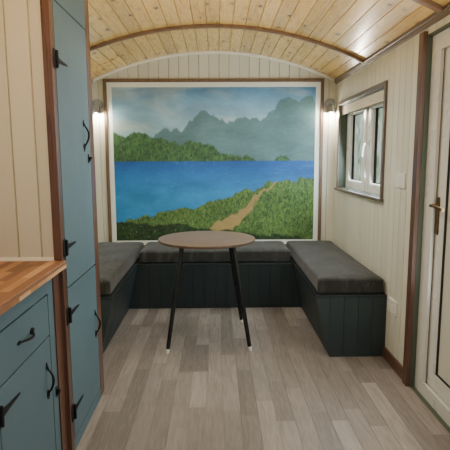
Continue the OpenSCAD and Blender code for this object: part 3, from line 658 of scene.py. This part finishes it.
def build_walls():
    end = upright_boards(-OUTER, OUTER, WALL, lambda u, t, z: (u, -t, z), BASE_Z,
                         lambda u, _: arch(u, LINING_R), start=-BOARD / 2)
    piece("end_wall_boards", end, CREAM, "end_wall")
    left_hole = (WINDOW[0] + LEFT_SHIFT, WINDOW[1] + LEFT_SHIFT, WINDOW[2], WINDOW[3])
    for name, node, d0, d1, sign, bottom, hole in (
            ("left_wall_boards", "left_wall", 0, LENGTH, -1, BASE_Z, left_hole),
            ("right_wall_boards", "right_wall", 0, DOOR_D0, 1, BASE_Z, WINDOW),
            ("over_door_boards", "right_wall_over_door", DOOR_D0, DOOR_D1, 1, DOOR_TOP, None),
            ("right_front_boards", "right_wall_front", DOOR_D1, LENGTH, 1, BASE_Z, None)):
        side = upright_boards(d0, d1, WALL, lambda u, t, z: (sign * (HALF + t), u, z), bottom,
                              lambda _, t: arch(HALF + t, LINING_R), hole)
        piece(name, side, CREAM, node)


def build_ceiling():
    """Ceiling boards along the hut, jointed over the hoops."""
    reach = asin(HALF / ARCH_R)
    count = 25
    step = 2 * reach / count
    joints = [0.0, FIRST_HOOP, FIRST_HOOP + HOOP_PITCH, LENGTH]
    shapes = []
    for i in range(count):
        a0 = -reach + i * step
        for d0, d1 in zip(joints, joints[1:]):
            section = []
            for u, t in board(0.0, step * ARCH_R, LINING_R - ARCH_R, 3.2, back=False):
                a = a0 + u / ARCH_R
                section.append(((ARCH_R + t) * sin(a), ARCH_Z + (ARCH_R + t) * cos(a)))
            shapes.append(drawn(section, d0, d1))
    piece("ceiling_boards", shapes, PINE, "roof_lining")


def build_roof():
    """Corrugated sheet over the roof, waved along the hut."""
    _, reach, d0, d1, _, _ = room_box("roof_cover")
    wave, wave_depth, rows_per_wave, columns = 76.0, 9.0, 6, 48
    rows = int((d1 - d0) / wave * rows_per_wave)
    rings = []
    for j in range(rows + 1):
        d = d0 + (d1 - d0) * j / rows
        r = COVER_R - wave_depth * (0.5 - 0.5 * cos(2 * pi * (d - d0) / wave))
        xs = [-reach + 2 * reach * i / columns for i in range(columns + 1)]
        rings.append([(x, d, arch(x, r)) for x in xs] + [(x, d, arch(x, LINING_R)) for x in xs[::-1]])
    piece("roof_sheet", [lofted(rings)], SHEET, "roof_cover")


def build_floor():
    """Planks of mixed lengths along the hut."""
    width, groove, shortest = 88.0, 0.9, 5
    shapes = []
    x = -HALF
    while x < HALF - 1:
        x1 = min(x + width, HALF)
        d = -random.uniform(100, 800)
        while d < LENGTH:
            length = random.choice((420, 520, 600, 700, 820))
            a, b = max(d, 0.0), min(d + length, LENGTH)
            if b - a > shortest:
                section = board(x, x1, -BASE_Z, groove, back=False)
                shapes.append(drawn([(u, -t) for u, t in section], a, b))
            d += length
        x = x1
    piece("floor_planks", shapes, FLOOR, "floor_boards")


def build_cornices():
    """Eaves mouldings with a double line; the left one stops at the cupboard."""
    low = 1932
    steps = [(0, 0), (-7, 0), (-10, 3), (-10, 10), (-14, 12), (-15, 15), (-15, 21), (-19, 24), (-22, 27)]
    section = [(HALF + x, low + z) for x, z in steps]
    inner = section[-1][0]
    top = arch(inner, ARCH_R) + 6
    section += [(inner, top), (HALF, top)]
    left = [drawn(section, 0, CUPBOARD_D0), drawn(section, CUPBOARD_D1, LENGTH)]
    piece("eaves_mouldings", [drawn(section, 0, LENGTH)] + mirrored(left), EAVES_LONG,
          "cornices", bevel=1.0)


# Furniture

def build_bench_fronts():
    """Sloping boards of the benches; each front is cut to the mitre at its corners."""
    thick, lean, pitch, mitre_gap = 18.0, 96.0, 95, 0.3
    _, outer_x, back_d, end_d, _, height = room_box("bench_fronts")
    foot_x = outer_x - thick
    head_x = foot_x - lean

    def sloped(start, end, u0, u1, place):
        """Boards from u0 to u1; start and end are cut lines, each at the floor and at the top."""
        count = round((u1 - u0) / pitch)
        shapes = []
        for i in range(count):
            a, b = u0 + (u1 - u0) * i / count, u0 + (u1 - u0) * (i + 1) / count
            section = board(a, b, thick, 1.6, i > 0, i < count - 1, back=False)
            shapes.append(prism(*([place(min(max(u, start[k]), end[k]), t, z) for u, t in section]
                                  for k, z in enumerate((0.0, height)))))
        return shapes

    def side(u, t, z):
        return (foot_x - lean * z / height + t, u, z)

    def back(u, t, z):
        return (u, back_d + thick + lean * z / height - t, z)

    def end(u, t, z):
        return (u, end_d + thick - t, z)

    right = sloped((back_d, back_d + lean), (end_d, end_d), back_d, end_d, side)
    foot, head = foot_x - mitre_gap, head_x - mitre_gap
    middle = sloped((-foot, -head), (foot, head), -foot, foot, back)
    piece("bench_front_boards", right + mirrored(right) + middle, BENCH, "bench_fronts")
    right = sloped((foot_x, head_x), (HALF, HALF), head_x, HALF, end)
    piece("bench_end_boards", right + mirrored(right), BENCH, "bench_ends")


def build_table():
    """Round top with an eased edge, its rim in a darker copy of the wood as painted shade on the side face,
    and four leaning legs with screwed plates.
    """
    x, d = -55.0, 1096.0
    z = room_box("table_top")[4]
    turn = radians(-3)
    head, foot = 170, 277  # half the spread of the legs, at the top and at the floor

    def leg_point(sx, sd, half, height):
        u, v = sx * half, sd * half
        return (x + u * cos(turn) - v * sin(turn),
                d + u * sin(turn) + v * cos(turn), height)

    top = [(0, 0), (336, 0), (337.5, 1), (337.5, 15.5), (336.0, 17.3), (333, 18), (0, 18)]
    piece("table_disc", [turned(top, (x, d, z), Z, 96)], OAK_TOP, "table_top")
    rim = [(337.2, 1.2), (339.6, 2.2), (340, 4), (340, 14), (339.4, 16), (337.2, 16.2)]
    rings = [[(x + r * cos(a), d + r * sin(a), z + h) for r, h in rim] for a in circle(96)]
    # The rim takes the darker copy of the table wood: painted shade.
    piece("table_rim", [lofted(rings, closed=True)], OAK_EDGE_PAINTED_SHADE)
    shapes = []
    for sx, sd in ((-1, -1), (-1, 1), (1, -1), (1, 1)):
        path = [leg_point(sx, sd, foot - (foot - head) * t, z * t) for t in (0.04, 0.3, 0.6, 0.9, 0.985)]
        shapes.append(tube(path, [13.2, 14.0, 15.0, 16.2, 16.8], 24))
        u, v, under = leg_point(sx, sd, head, z - 4)
        shapes += [turned([(0, 0), (35, 0), (37, 1), (37, 4), (0, 4)], (u, v, under), Z),
                   turned([(15, -14), (19, -6), (26, 0), (15, 0)], (u, v, under), Z, 24)]
        shapes += [screw((u + 28 * cos(a), v + 28 * sin(a), under), (0, 0, -1), 3)
                   for a in (0.6, 2.7, 4.8)]
    piece("table_leg_bars", shapes, BLACK, "table_legs")


def build_worktop():
    """Block of staves glued side by side, and a long one along the front over short ones."""
    x0, x1, d0, d1, z0, z1 = room_box("worktop")
    rows, front_width, shortest = 14, 34.0, 4
    front = x1 - front_width
    shapes = []
    for k in range(rows):
        a, b = (x0 + (front - x0) * i / rows for i in (k, k + 1))
        d = d0 - random.uniform(0, 260)
        while d < d1:
            length = random.uniform(110, 270)
            lo, hi = max(d, d0), min(d + length, d1)
            if hi - lo > shortest:
                low = [(a, lo, z0), (b, lo, z0), (b, hi, z0), (a, hi, z0)]
                shapes.append(prism(low, [(x, d, z1) for x, d, _ in low]))
            d += length
    half = (z0 + z1) / 2
    shapes.append(drawn([(front, half), (x1, half), (x1, z1 - 3), (x1 - 3, z1), (front, z1)], d0, d1))
    joints = [d0] + [d0 + s for s in (62, 154, 222, 317, 382, 473, 532, 614)] + [d1]
    low = [(front, z0), (x1 - 2, z0), (x1, z0 + 2), (x1, half), (front, half)]
    shapes += [drawn(low, lo, hi) for lo, hi in zip(joints, joints[1:])]
    piece("worktop_staves", shapes, STAVES, "worktop")
    bead = [(d0 + d, z1 + z) for d, z in ((0, 0), (12, 0), (12, 5), (8, 12), (0, 14))]
    strip_x = room_box("cupboard_strips")[0]
    # This bead also takes the lighter copy of the cream paint: a painted highlight.
    piece("worktop_bead", [prism(*([(x, d, z) for d, z in bead] for x in (x0, strip_x)))], BEAD_PAINTED_HIGHLIGHT, bevel=0.8)


def build_cupboard_sides():
    x0, x1 = room_box("cupboard_sides")[:2]
    shapes = []
    for d, sign in ((CUPBOARD_D1, -1), (CUPBOARD_D0, 1)):
        shapes += upright_boards(x0, x1, 18, lambda u, t, z: (u, d + sign * t, z), 0,
                                 lambda u, _: arch(u, ARCH_R - 0.3), pitch=93, start=-700)
    piece("cupboard_side_boards", shapes, CREAM, "cupboard_sides")


# Ironwork and fittings

def strap_shapes(x, d, z):
    """Strap hinge: a blade that narrows to a rounded tip, its eye and three screws."""
    blade = [(0, -16), (-24, -13.5), (-60, -9), (-144, -3.6), (-148.5, -2.2), (-150, 0)]
    blade += [(u, -v) for u, v in blade[-2::-1]]
    shapes = [outline([(d + u, z + v) for u, v in blade], facing(x), 0, 3.0)]
    shapes.append(turned([(3.5, -15), (6, -15), (6, 15), (3.5, 15)], (x + 7, d, z), Z, 24))
    shapes += [screw((x + 3, d - k, z), X) for k in (26, 70, 112)]
    return shapes


def hinge_plate_shapes(x, d, z):
    """Fixed half of a strap hinge: a tall plate with a notch, two eyes, the pin and four screws."""
    eye, cap = [(0, -7.5), (6, -7.5), (6, 7.5), (0, 7.5)], [(0, 0), (3, 0), (3.6, 1.5), (2.4, 3.5), (0, 4)]
    half = ((0, 16.5), (0, 36), (2, 38), (22, 38), (26, 33), (30, 20), (30, 0), (6.3, 0), (6.3, 16.5))
    shapes = []
    for s in (-1, 1):
        shapes.append(outline([(d + u, z + s * v) for u, v in half], facing(x), 0, 3.0))
        shapes.append(turned(eye, (x + 7, d, z + s * 24), Z, 24))
        shapes.append(turned(cap, (x + 7, d, z + s * 31.3), (0, 0, s), 16))
        shapes += [screw((x + 3, d + 18, z + s * k), X) for k in (12, 29)]
    shapes.append(turned([(0, -30), (3, -30), (3, 30), (0, 30)], (x + 7, d, z), Z, 16))
    return shapes


def leaf(u, z, length, width, place, s):
    """Beaten leaf-shaped plate, pointed at its outer end."""
    half = [(0.0, 0.0), (0.1, 0.55), (0.3, 0.95), (0.5, 1.0), (0.7, 0.8), (0.87, 0.42), (1.0, 0.0)]
    points = [(u + width / 2 * w, z + s * length * t) for t, w in half]
    points += [(u - width / 2 * w, z + s * length * t) for t, w in half[-2:0:-1]]
    return outline(points, place, 0, 3.2)


def pull_shapes(place, u, z, side):
    """Wrought pull: a small leaf at the top, a broad one at the bottom and a thin bowed grip."""
    shapes = [leaf(u, z + 42, 33, 15, place, 1), leaf(u, z - 36, 39, 25, place, -1)]
    bow = [(-58, 3.0), (-46, 6), (-33, 14), (-15, 22), (6, 25), (26, 20), (44, 9), (58, 3.0)]
    path = smooth_path([place(u, t, z + v) for v, t in bow], 5)
    n = len(path) - 1
    shapes.append(tube(path, [3.0 + 1.8 * sin(pi * i / n) ** 2 for i in range(n + 1)], side=side))
    for at, stud in ((-58, [(0, 0), (6, 0), (7, 2), (5, 4.5), (0, 5)]),
                     (58, [(0, 0), (5, 0), (5.5, 2), (4, 4), (0, 4.5)])):
        shapes.append(turned(stud, place(u, 2, z + at), X, 16))
    return shapes


def build_ironwork():
    """Strap hinges and pulls of the cupboard doors, the drawer and the unit's door, and two catches."""
    gap = 3.0
    hinge_d = room_box("cupboard_upper_door")[3] + gap
    unit_d = room_box("unit_door")[3] + gap
    sets = (("upper_door", CUPBOARD_FACE, hinge_d, (912, 1672), (2080, 1389), "cupboard_upper_iron"),
            ("lower_door", CUPBOARD_FACE, hinge_d, (182, 620), (2020, 432), "cupboard_lower_iron"),
            ("unit_door", UNIT_FACE, unit_d, (150, 512), (2662, 432), "unit_door_iron"))
    iron = {"bevel": 0.5, "segments": 1}
    for body, x, d, heights, pull_at, node in sets:
        shapes = [s for z in heights for s in strap_shapes(x, d, z)]
        shapes += pull_shapes(facing(x), *pull_at, Y)
        piece(body + "_ironwork", shapes, IRON, node, body, **iron)
    mid_d, mid_z = 2834, 677
    flat = pull_shapes(lambda u, t, z: (UNIT_FACE + t, mid_d + (z - mid_z), mid_z + u), 0, mid_z, Z)
    piece("drawer_ironwork", flat, IRON, "drawer_pull", "drawer", **iron)
    for name, body, x, d, z in (("upper_door_catch", "upper_door", CUPBOARD_FACE, 2014, 1281),
                                ("unit_catch", "hut", UNIT_FACE, 2572, 343)):
        place = facing(x)
        knob = [(0, 0), (7, 0), (8, 3), (6, 8), (0, 9)]
        piece(name, [pad(place, d, z, 9, 22, 4, 0, 3), pad(place, d, z - 2, 6, 12, 3, 3, 10),
                     turned(knob, place(d, 9, z + 2), X, 20)], IRON, body=body, **iron)
    fixed = [(x, d, z) for _, x, d, heights, _, _ in (sets[1], sets[0], sets[2]) for z in heights]
    piece("fixed_hinge_plates", [s for at in fixed for s in hinge_plate_shapes(*at)], IRON,
          "hinge_plates", bevel=0.4, segments=1)


def build_door_handle():
    """Levers on long plates, inside and outside, in dull brass."""
    d, z = 2010.0, 1035.0
    inner_face, outer_face = 1148.0, 1200.0
    shapes = []
    for x, s in ((inner_face, -1), (outer_face, 1)):
        for t0, t1, half_u, half_z, r in ((0, 4, 16, 97, 15), (4, 6, 12.5, 93, 12)):
            plate = rounded_outline(d - half_u, d + half_u, z - 53 - half_z, z - 53 + half_z, r, 6)
            shapes.append(outline(plate, lambda u, t, v: (x + s * t, u, v), t0, t1))
        shapes.append(turned([(0, 0), (15, 0), (15, 4), (11, 8), (9, 12), (9, 38), (0, 38)],
                             (x + s * 4, d, z), (s, 0, 0), 24))
        bend = ((38, 0, 0), (44, 4, 1), (46, 26, 2), (43, 62, -1), (37, 98, -7), (33, 120, -11))
        path = smooth_path([(x + s * t, d + u, z + v) for t, u, v in bend], 6)
        n = len(path) - 1
        shapes.append(tube(path, [9.0 - 2.2 * sin(pi * i / n) for i in range(n + 1)], 16))
        shapes.append(turned([(0, 0), (7, 0), (7, 2), (5, 3), (0, 3)], (x + s * 6, d, z - 90), (s, 0, 0), 20))
        shapes += [screw((x + s * 6, d, z + v), (s, 0, 0), 3.6) for v in (-137, 31)]
    piece("lever_handles", shapes, BRASS, "door_handle", "entrance_door", 0.5)


def build_door_seals():
    """Black gasket round the panel, on both faces, and the dark seal on the stops."""
    def place(u, t, z):
        return (t, u, z)

    panel = room_box("door_panel")[2:]
    shapes = [framed(*panel, profile, place) for profile in (
        [(-1, 1150.5), (3.5, 1149.5), (5.5, 1155), (5.5, 1160.4), (-1, 1160.4)],
        [(-1, 1197.5), (3.5, 1198.5), (5.5, 1193), (5.5, 1187.6), (-1, 1187.6)])]
    piece("panel_gaskets", shapes, GASKET, body="entrance_door")
    leaf_width = 722
    d0, _, z0, z1 = room_box("door_leaf")[2:]
    seal = [(-0.5, 1141.4), (5, 1141.4), (6, 1144), (4, 1146.5), (-0.5, 1146.5)]
    piece("frame_seal", [framed(d0, d0 + leaf_width, z0, z1, seal, place)], GASKET)


def build_lamps():
    """Round wall bases, each with an open hood that points down over its bulb."""
    x, z = 1047.0, 1759.0
    base = [(0, 0), (48, 0), (48, 8), (47, 16), (44, 20), (38, 22), (0, 22)]
    arm = smooth_path([(x, d, z - 12) for d in (20, 30, 40)], 5)
    top, low = Vector((x, 46, z - 2)), Vector((x, 52, z - 84))
    axis = (low - top).normalized()
    length = (low - top).length
    hood = [(0, 0), (14, 1), (24, 5), (30, 12), (33, 24), (35, 44), (38, length - 12), (41, length - 3),
            (42, length), (39.5, length), (38, length - 4), (34, 44), (31, 26), (20, 14), (0, 12)]
    shells = [turned(base, (x, 0, z), Y, 48), tube(arm, 8, 16), turned(hood, top, axis, 48)]
    glass = [(0, 0), (12, 0), (20, 10), (25, 24), (25, 34), (20, 44), (10, 50), (0, 51)]
    bulb = [turned(glass, top + axis * (length - 57), axis)]
    piece("spot_lamps", shells + mirrored(shells), STEEL, "wall_lamps", bevel=0.4, segments=1)
    piece("spot_bulbs", bulb + mirrored(bulb), BULB)


def build_wall_plates():
    """Twin rocker switch and a double socket."""
    switch, socket = (1620, 1146), (1585, 371)

    def face(u, t, z):
        return (HALF - t, u, z)

    shapes, dark = [], []
    for d, z in (switch, socket):
        shapes.append(pad(face, d, z, 73, 43, 5, 0, 8))
        shapes += [screw((HALF - 8, d + s * 60, z), (-1, 0, 0), 3) for s in (-1, 1)]
    for s in (-1, 1):
        shapes.append(pad(face, switch[0] + s * 24, switch[1], 12, 16, 2, 6, 9))
        d, z = socket[0] + s * 36, socket[1]
        shapes.append(pad(face, d, z + 30, 7, 7, 2, 6, 9))
        for u, v, half_u, half_z in ((0, 12, 3.5, 2), (-11, -9, 1.5, 3.5), (11, -9, 1.5, 3.5)):
            dark.append(pad(face, d + u, z + v, half_u, half_z, 1, 7.2, 8.3))
    piece("switch_and_socket", shapes, SWITCH, "wall_plates", bevel=0.8)
    piece("socket_holes", dark, GASKET)


# Windows

def window_pieces(sign):
    """Two deep sashes with dark seals, a lever handle, and a cloth blind rolled up on its rail."""
    side = "_right" if sign > 0 else "_left"
    shift = LEFT_SHIFT if sign < 0 else 0.0
    d0, d1, low, top = WINDOW
    face, sill, rim = 1165.0, 22.4, 24
    handle_d = 838

    def place(u, t, z):
        return (sign * t, u + shift, z)

    def deep(profile):
        """A profile with its depths measured from the frame's inner face."""
        return [(i, face + t) for i, t in profile]

    lining = deep([(0, -64.7), (4, -64.7), (4, -0.4), (0, -0.4)])
    piece("window_lining" + side, [framed(d0 + 0.3, d1 - 0.3, low + sill, top - 0.3, lining, place)],
          REVEAL, bevel=0.6)
    sash = deep([(0, 0), (0, -8), (3, -11), (60, -11), (66, -7), (72, -1), (72, 19), (0, 19)])
    seal = deep([(71, 19), (74, 19.5), (76, 28), (76, 29.6), (71, 29.6)])
    sashes, seals = [], []
    for a, b in ((204, 735), (790, 1279)):
        sashes.append(framed(a, b, low + rim, top - rim, sash, place))
        seals.append(framed(a, b, low + rim, top - rim, seal, place))
        strip = [(a + u, z) for u, z in ((74, low + 98), (100, low + 98), (100, top - 98), (74, top - 98))]
        seals.append(outline(strip, place, face + 28.2, face + 29.8))
    piece("sashes" + side, sashes, WHITE, bevel=0.8)
    piece("sash_seals" + side, seals, GASKET)
    lever = ((0, 1118, 1384), (0, 1111, 1370), (-8, 1108, 1340), (-20, 1108, 1306), (-26, 1110, 1282))
    lever = smooth_path([place(handle_d + u, t, z) for u, t, z in lever], 5)
    handle = [pad(place, handle_d, 1376, 10, 36, 9, 1154, 1146),
              tube([place(handle_d, t, 1378) for t in (1147, 1114)], 7.5, 16),
              tube(lever, 7.0, 12, 0.7, Y)]
    piece("window_handle" + side, handle, WHITE, bevel=0.5)
    blind_pieces(side, place, d0 + 4, d1 - 4, top, "window_blinds" if sign > 0 else None)


def blind_pieces(side, place, d0, d1, top, node):
    """Rail, roll with its brackets, hanging cloth and hem bar."""
    rail = [(1103, -8), (1103, 0), (1165, 0), (1165, -4), (1108, -4), (1108, -8)]
    rail = prism(*([place(d, t, top + z) for t, z in rail] for d in (d0, d1)))
    piece("blind_rail" + side, [rail], STEEL)
    roll_t = 1136
    roll = [tube([place(d, roll_t, top - 31) for d in (d0 + 4, d1 - 4)], 21, 32)]
    for k in (d0, d1 - 3):
        roll.append(pad(lambda u, t, z: place(k + t, roll_t + u, top - 34 + z), 0, 0, 28, 28, 5, 0, 3))
    piece("blind_roll" + side, roll, BLIND, node)
    columns, rows = 90, 6
    width, drop = d1 - d0 - 12, 72
    cloth_t, cloth_z = 1112, top - 10
    points = []
    for j in range(rows + 1):
        for i in range(columns + 1):
            u = d0 + 6 + width * i / columns
            sway = 0.8 * sin(u / 61.0) + 0.5 * sin(u / 23.0 + 1.0)
            points.append(place(u, cloth_t + sway * j / rows, cloth_z - drop * j / rows))
    line = columns + 1
    cells = [j * line + i for j in range(rows) for i in range(columns)]
    faces = [(k, k + 1, k + 1 + line, k + line) for k in cells]
    cloth = piece("blind_cloth" + side, [(points, faces)], BLIND)
    bar = [place(d, cloth_t, cloth_z - drop) for d in (d0 + 6, d1 - 6)]
    hem = piece("blind_hem" + side, [tube(bar, 4, 12, 0.6, Z)], BLIND)


# Cushions, in metres

def settle(obj):
    """Applies the object's modifiers."""
    bpy.context.view_layer.update()
    shape = obj.evaluated_get(bpy.context.evaluated_depsgraph_get())
    mesh = bpy.data.meshes.new_from_object(shape)
    obj.modifiers.clear()
    old = obj.data
    obj.data = mesh
    bpy.data.meshes.remove(old)


def swell(obj, pressure=4.0, cap=0.008, steps=20):
    """Fills the cover with air for some steps, and holds each point within the cap."""
    rest = [v.co.copy() for v in obj.data.vertices]
    cloth = obj.modifiers.new("swell", "CLOTH")
    cloth.settings.use_pressure = True
    cloth.settings.uniform_pressure_force = pressure
    cloth.settings.effector_weights.gravity = 0.0
    cloth.settings.quality = 4
    cloth.point_cache.frame_start = 1
    cloth.point_cache.frame_end = steps
    for step in range(1, steps + 1):
        SCENE.frame_set(step)
    settle(obj)
    SCENE.frame_set(1)
    for v, r in zip(obj.data.vertices, rest):
        move = v.co - r
        if move.length > cap:
            v.co = r + move.normalized() * cap


def crown(mesh, middle, size):
    """Raises the top to a soft, slightly uneven crown, and draws the sides in between the corners."""
    rise, uneven, waist = 0.009, 0.0022, 0.004
    for v in mesh.vertices:
        s = v.co - middle
        sx, sy, sz = (s[i] / (size[i] / 2) for i in range(3))
        top = max(0.0, sz)
        ripple = sin(23 * v.co.x + 9 * v.co.y) + sin(17 * v.co.y - 11 * v.co.x)
        v.co.z += rise * top * (1 - sx * sx) * (1 - sy ** 4)
        v.co.z += uneven * top * (1 - sx * sx) * (1 - sy * sy) * ripple
        v.co.x -= waist * sx * (1 - abs(sy) ** 3) * (1 - 0.3 * abs(sz))
        v.co.y -= waist * sy * (1 - abs(sx) ** 3) * (1 - 0.3 * abs(sz))


def cushion(node):
    """Boxed cushion: crowned top, sides drawn in between the corners, seams round both edges."""
    lo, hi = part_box(node)
    inset, crown_room, lift, cell, clear = 0.007, 0.009, 0.002, 0.013, 0.0008
    size = hi - lo - Vector((2 * inset, 2 * inset, crown_room))
    middle = (lo + hi) / 2
    middle.z = lo.z + lift + size.z / 2
    work = bmesh.new()
    bmesh.ops.create_cube(work, size=1.0)
    bmesh.ops.scale(work, vec=size, verts=work.verts)
    bmesh.ops.translate(work, vec=middle, verts=work.verts)
    bmesh.ops.bevel(work, geom=list(work.edges), offset=0.016, segments=4, affect="EDGES", profile=0.6)
    mesh = bpy.data.meshes.new(node)
    work.to_mesh(mesh)
    work.free()
    obj = shown(node + "_cover", mesh)
    cells = obj.modifiers.new("cells", "REMESH")
    cells.mode = "VOXEL"
    cells.voxel_size = cell
    settle(obj)
    crown(obj.data, middle, size)
    swell(obj)
    for v in obj.data.vertices:
        for axis in (0, 1):
            v.co[axis] = min(max(v.co[axis], lo[axis] + clear), hi[axis] - clear)
        v.co.z = max(v.co.z, lo.z)
    smooth = obj.modifiers.new("smooth", "SUBSURF")
    smooth.levels = smooth.render_levels = 1
    settle(obj)
    obj.data.materials.clear()
    obj.data.materials.append(CLOTH)
    obj.data.shade_smooth()
    placed(obj, CLOTH, node)
    seam_cords(obj, lo, hi)


def seam_cords(cover, lo, hi):
    """Thin sewn edges that lie on the cover, round its top and its bottom."""
    tree = BVHTree.FromObject(cover, bpy.context.evaluated_depsgraph_get())
    middle = (lo + hi) / 2
    corners = [(lo.x, lo.y), (hi.x, lo.y), (hi.x, hi.y), (lo.x, hi.y)]
    radius, spacing, proud = 0.0022, 0.02, 0.0004
    up = Vector(Z)
    shapes = []
    for z in (hi.z - 0.011, lo.z + 0.012):
        points = []
        for (x0, y0), (x1, y1) in zip(corners, corners[1:] + corners[:1]):
            steps = max(6, int(hypot(x1 - x0, y1 - y0) / spacing))
            for k in range(steps):
                aim = Vector((x0 + (x1 - x0) * k / steps, y0 + (y1 - y0) * k / steps, z))
                out = Vector((aim.x - middle.x, aim.y - middle.y, 0)).normalized()
                hit, normal, _, _ = tree.find_nearest(aim + out * 0.01)
                points.append(hit + normal * proud)
        rings = []
        for k, p in enumerate(points):
            side = (points[(k + 1) % len(points)] - points[k - 1]).normalized().cross(up).normalized()
            ring = [p + (up * cos(t) + side * sin(t)) * radius for t in circle(6)]
            rings.append([(q.x * 1000, END_Y - q.y * 1000, q.z * 1000 - FLOOR_Z) for q in ring])
        shapes.append(lofted(rings, closed=True))
    piece(cover.name + "_seams", shapes, CLOTH)


# Camera, light and floor of the picture

def build_camera():
    """The photo's camera, as fitted to the room's straight edges."""
    data = bpy.data.cameras.new("camera")
    data.lens = 38.28
    data.sensor_width = 36.0
    camera = shown("camera", data)
    pan, tilt, roll = -0.945, -7.996, -0.265
    turn = (Matrix.Rotation(radians(pan), 4, "Z") @ Matrix.Rotation(radians(90 + tilt), 4, "X")
            @ Matrix.Rotation(radians(roll), 4, "Z"))
    camera.matrix_world = Matrix.Translation((0.0195, -2.8667, 1.4017)) @ turn
    SCENE.camera = camera


def light(name, at, aim, power, colour, size, size_y=None):
    """A soft rectangle of light, or a small bulb if it has no size_y."""
    data = bpy.data.lights.new(name, "AREA" if size_y else "POINT")
    data.energy = power
    data.color = rgb(colour)[:3]
    if size_y:
        data.shape = "RECTANGLE"
        data.size = size
        data.size_y = size_y
    else:
        data.shadow_soft_size = size
    obj = shown(name, data)
    obj.location = at
    obj.rotation_euler = (Vector(aim) - Vector(at)).to_track_quat("-Z", "Y").to_euler()
    obj.visible_camera = False
    return obj


def build_studio():
    world = bpy.data.worlds.new("studio")
    SCENE.world = world
    world.use_nodes = True
    sky = world.node_tree.nodes["Background"]
    sky.inputs[0].default_value = rgb("f2f4f0")
    sky.inputs[1].default_value = 0.22
    light("front_soft", (-0.3, -4.6, 2.4), (-0.2, 0.5, 0.9), 22, "f6f6f4", 2.6, 2.6)
    down = light("ceiling_soft", (0.05, 0.35, 2.02), (0.05, 0.35, 0), 22, "f8f8f2", 0.9, 1.5)
    up = light("upward_soft", (0.15, -0.7, 1.75), (0.15, -0.7, 3), 13, "ffe3b4", 1.2, 2.4)
    down.visible_glossy = up.visible_glossy = False
    light("window_soft", point(1130, 741, 1340), point(0, 741, 1150), 18, "dcefff", 1.0, 0.55)
    light("door_soft", point(1100, 2340, 1200), point(-600, 2200, 1150), 13, "f2f6f2", 0.6, 1.3)
    light("warm_left", point(-350, 3250, 1950), point(-900, 2478, 1100), 5, "ffc98a", 0.4, 0.4)
    light("over_soft", (0, 0, 6.0), (0, 0, 0), 330, "f8f8f4", 6.0, 6.0)
    light("behind_soft", (3.5, 5.5, 3.5), (0, 0, 1), 90, "f6f8fa", 3.0, 3.0)
    for side, x in (("left", -1040), ("right", 1040)):
        light("lamp_glow_" + side, point(x, 74, 1655), (0, 0, 0), 7.5, "fff3e0", 0.02)
    mesh = bpy.data.meshes.new("studio_floor")
    s = 14.0
    mesh.from_pydata([(-s, -s, 0), (s, -s, 0), (s, s, 0), (-s, s, 0)], [], [(0, 1, 2, 3)])
    f = Finish("studio_floor", 0.9)
    f.colour(f.mix(f.noise(f.where(), 2.0), "d6d4ce", "dedcd6"))
    mesh.materials.append(f.material)
    shown("studio_floor", mesh)


# The CAD nodes that show as they are: their material, and how far their edges are eased
for node_material, node_bevel, node_names in (
        (DECK, 3.0, ["floor_deck"]), (EAVES_ACROSS, 2.0, ["roof_hoops"]), (BEAD_PAINTED_HIGHLIGHT, 2.0, ["arch_bead"]),
        (BROWN_LONG, 3.0, ["skirtings"]), (BROWN_UP, 3.0, ["door_posts"]),
        (BROWN_UP, 2.0, ["cupboard_strips"]), (REVEAL, 0.0, ["door_lining"]), (WHITE, 1.5, ["door_frame"]),
        (WHITE, 2.0, ["door_leaf", "window_frames"]), (PANEL, 0.0, ["door_panel"]),
        (TRIM, 2.5, ["window_trims"]), (TRIM, 4.0, ["window_sills"]), (GLASS, 0.0, ["window_glass"]),
        (MURAL, 0.0, ["mural_board"]), (FRAME, 3.0, ["mural_frame"]), (BENCH_TOP_PAINTED_SHADE, 2.0, ["bench_tops"]),
        (FOOT, 1.0, ["table_feet"]), (TEAL, 0.0, ["unit_case"]),
        (TEAL, 1.0, ["cupboard_rails", "unit_front"]),
        (TEAL, 1.5, ["cupboard_upper_door", "cupboard_lower_door", "drawer", "unit_door"])):
    for node_name in node_names:
        finish_node(node_name, node_material, node_bevel)
build_walls()
build_ceiling()
build_roof()
build_floor()
build_cornices()
build_bench_fronts()
build_table()
build_worktop()
build_cupboard_sides()
build_ironwork()
build_door_handle()
build_door_seals()
build_lamps()
build_wall_plates()
for side_sign in (-1, 1):
    window_pieces(side_sign)
for cushion_node in ("cushion_left", "cushion_back", "cushion_right"):
    cushion(cushion_node)
build_camera()
build_studio()
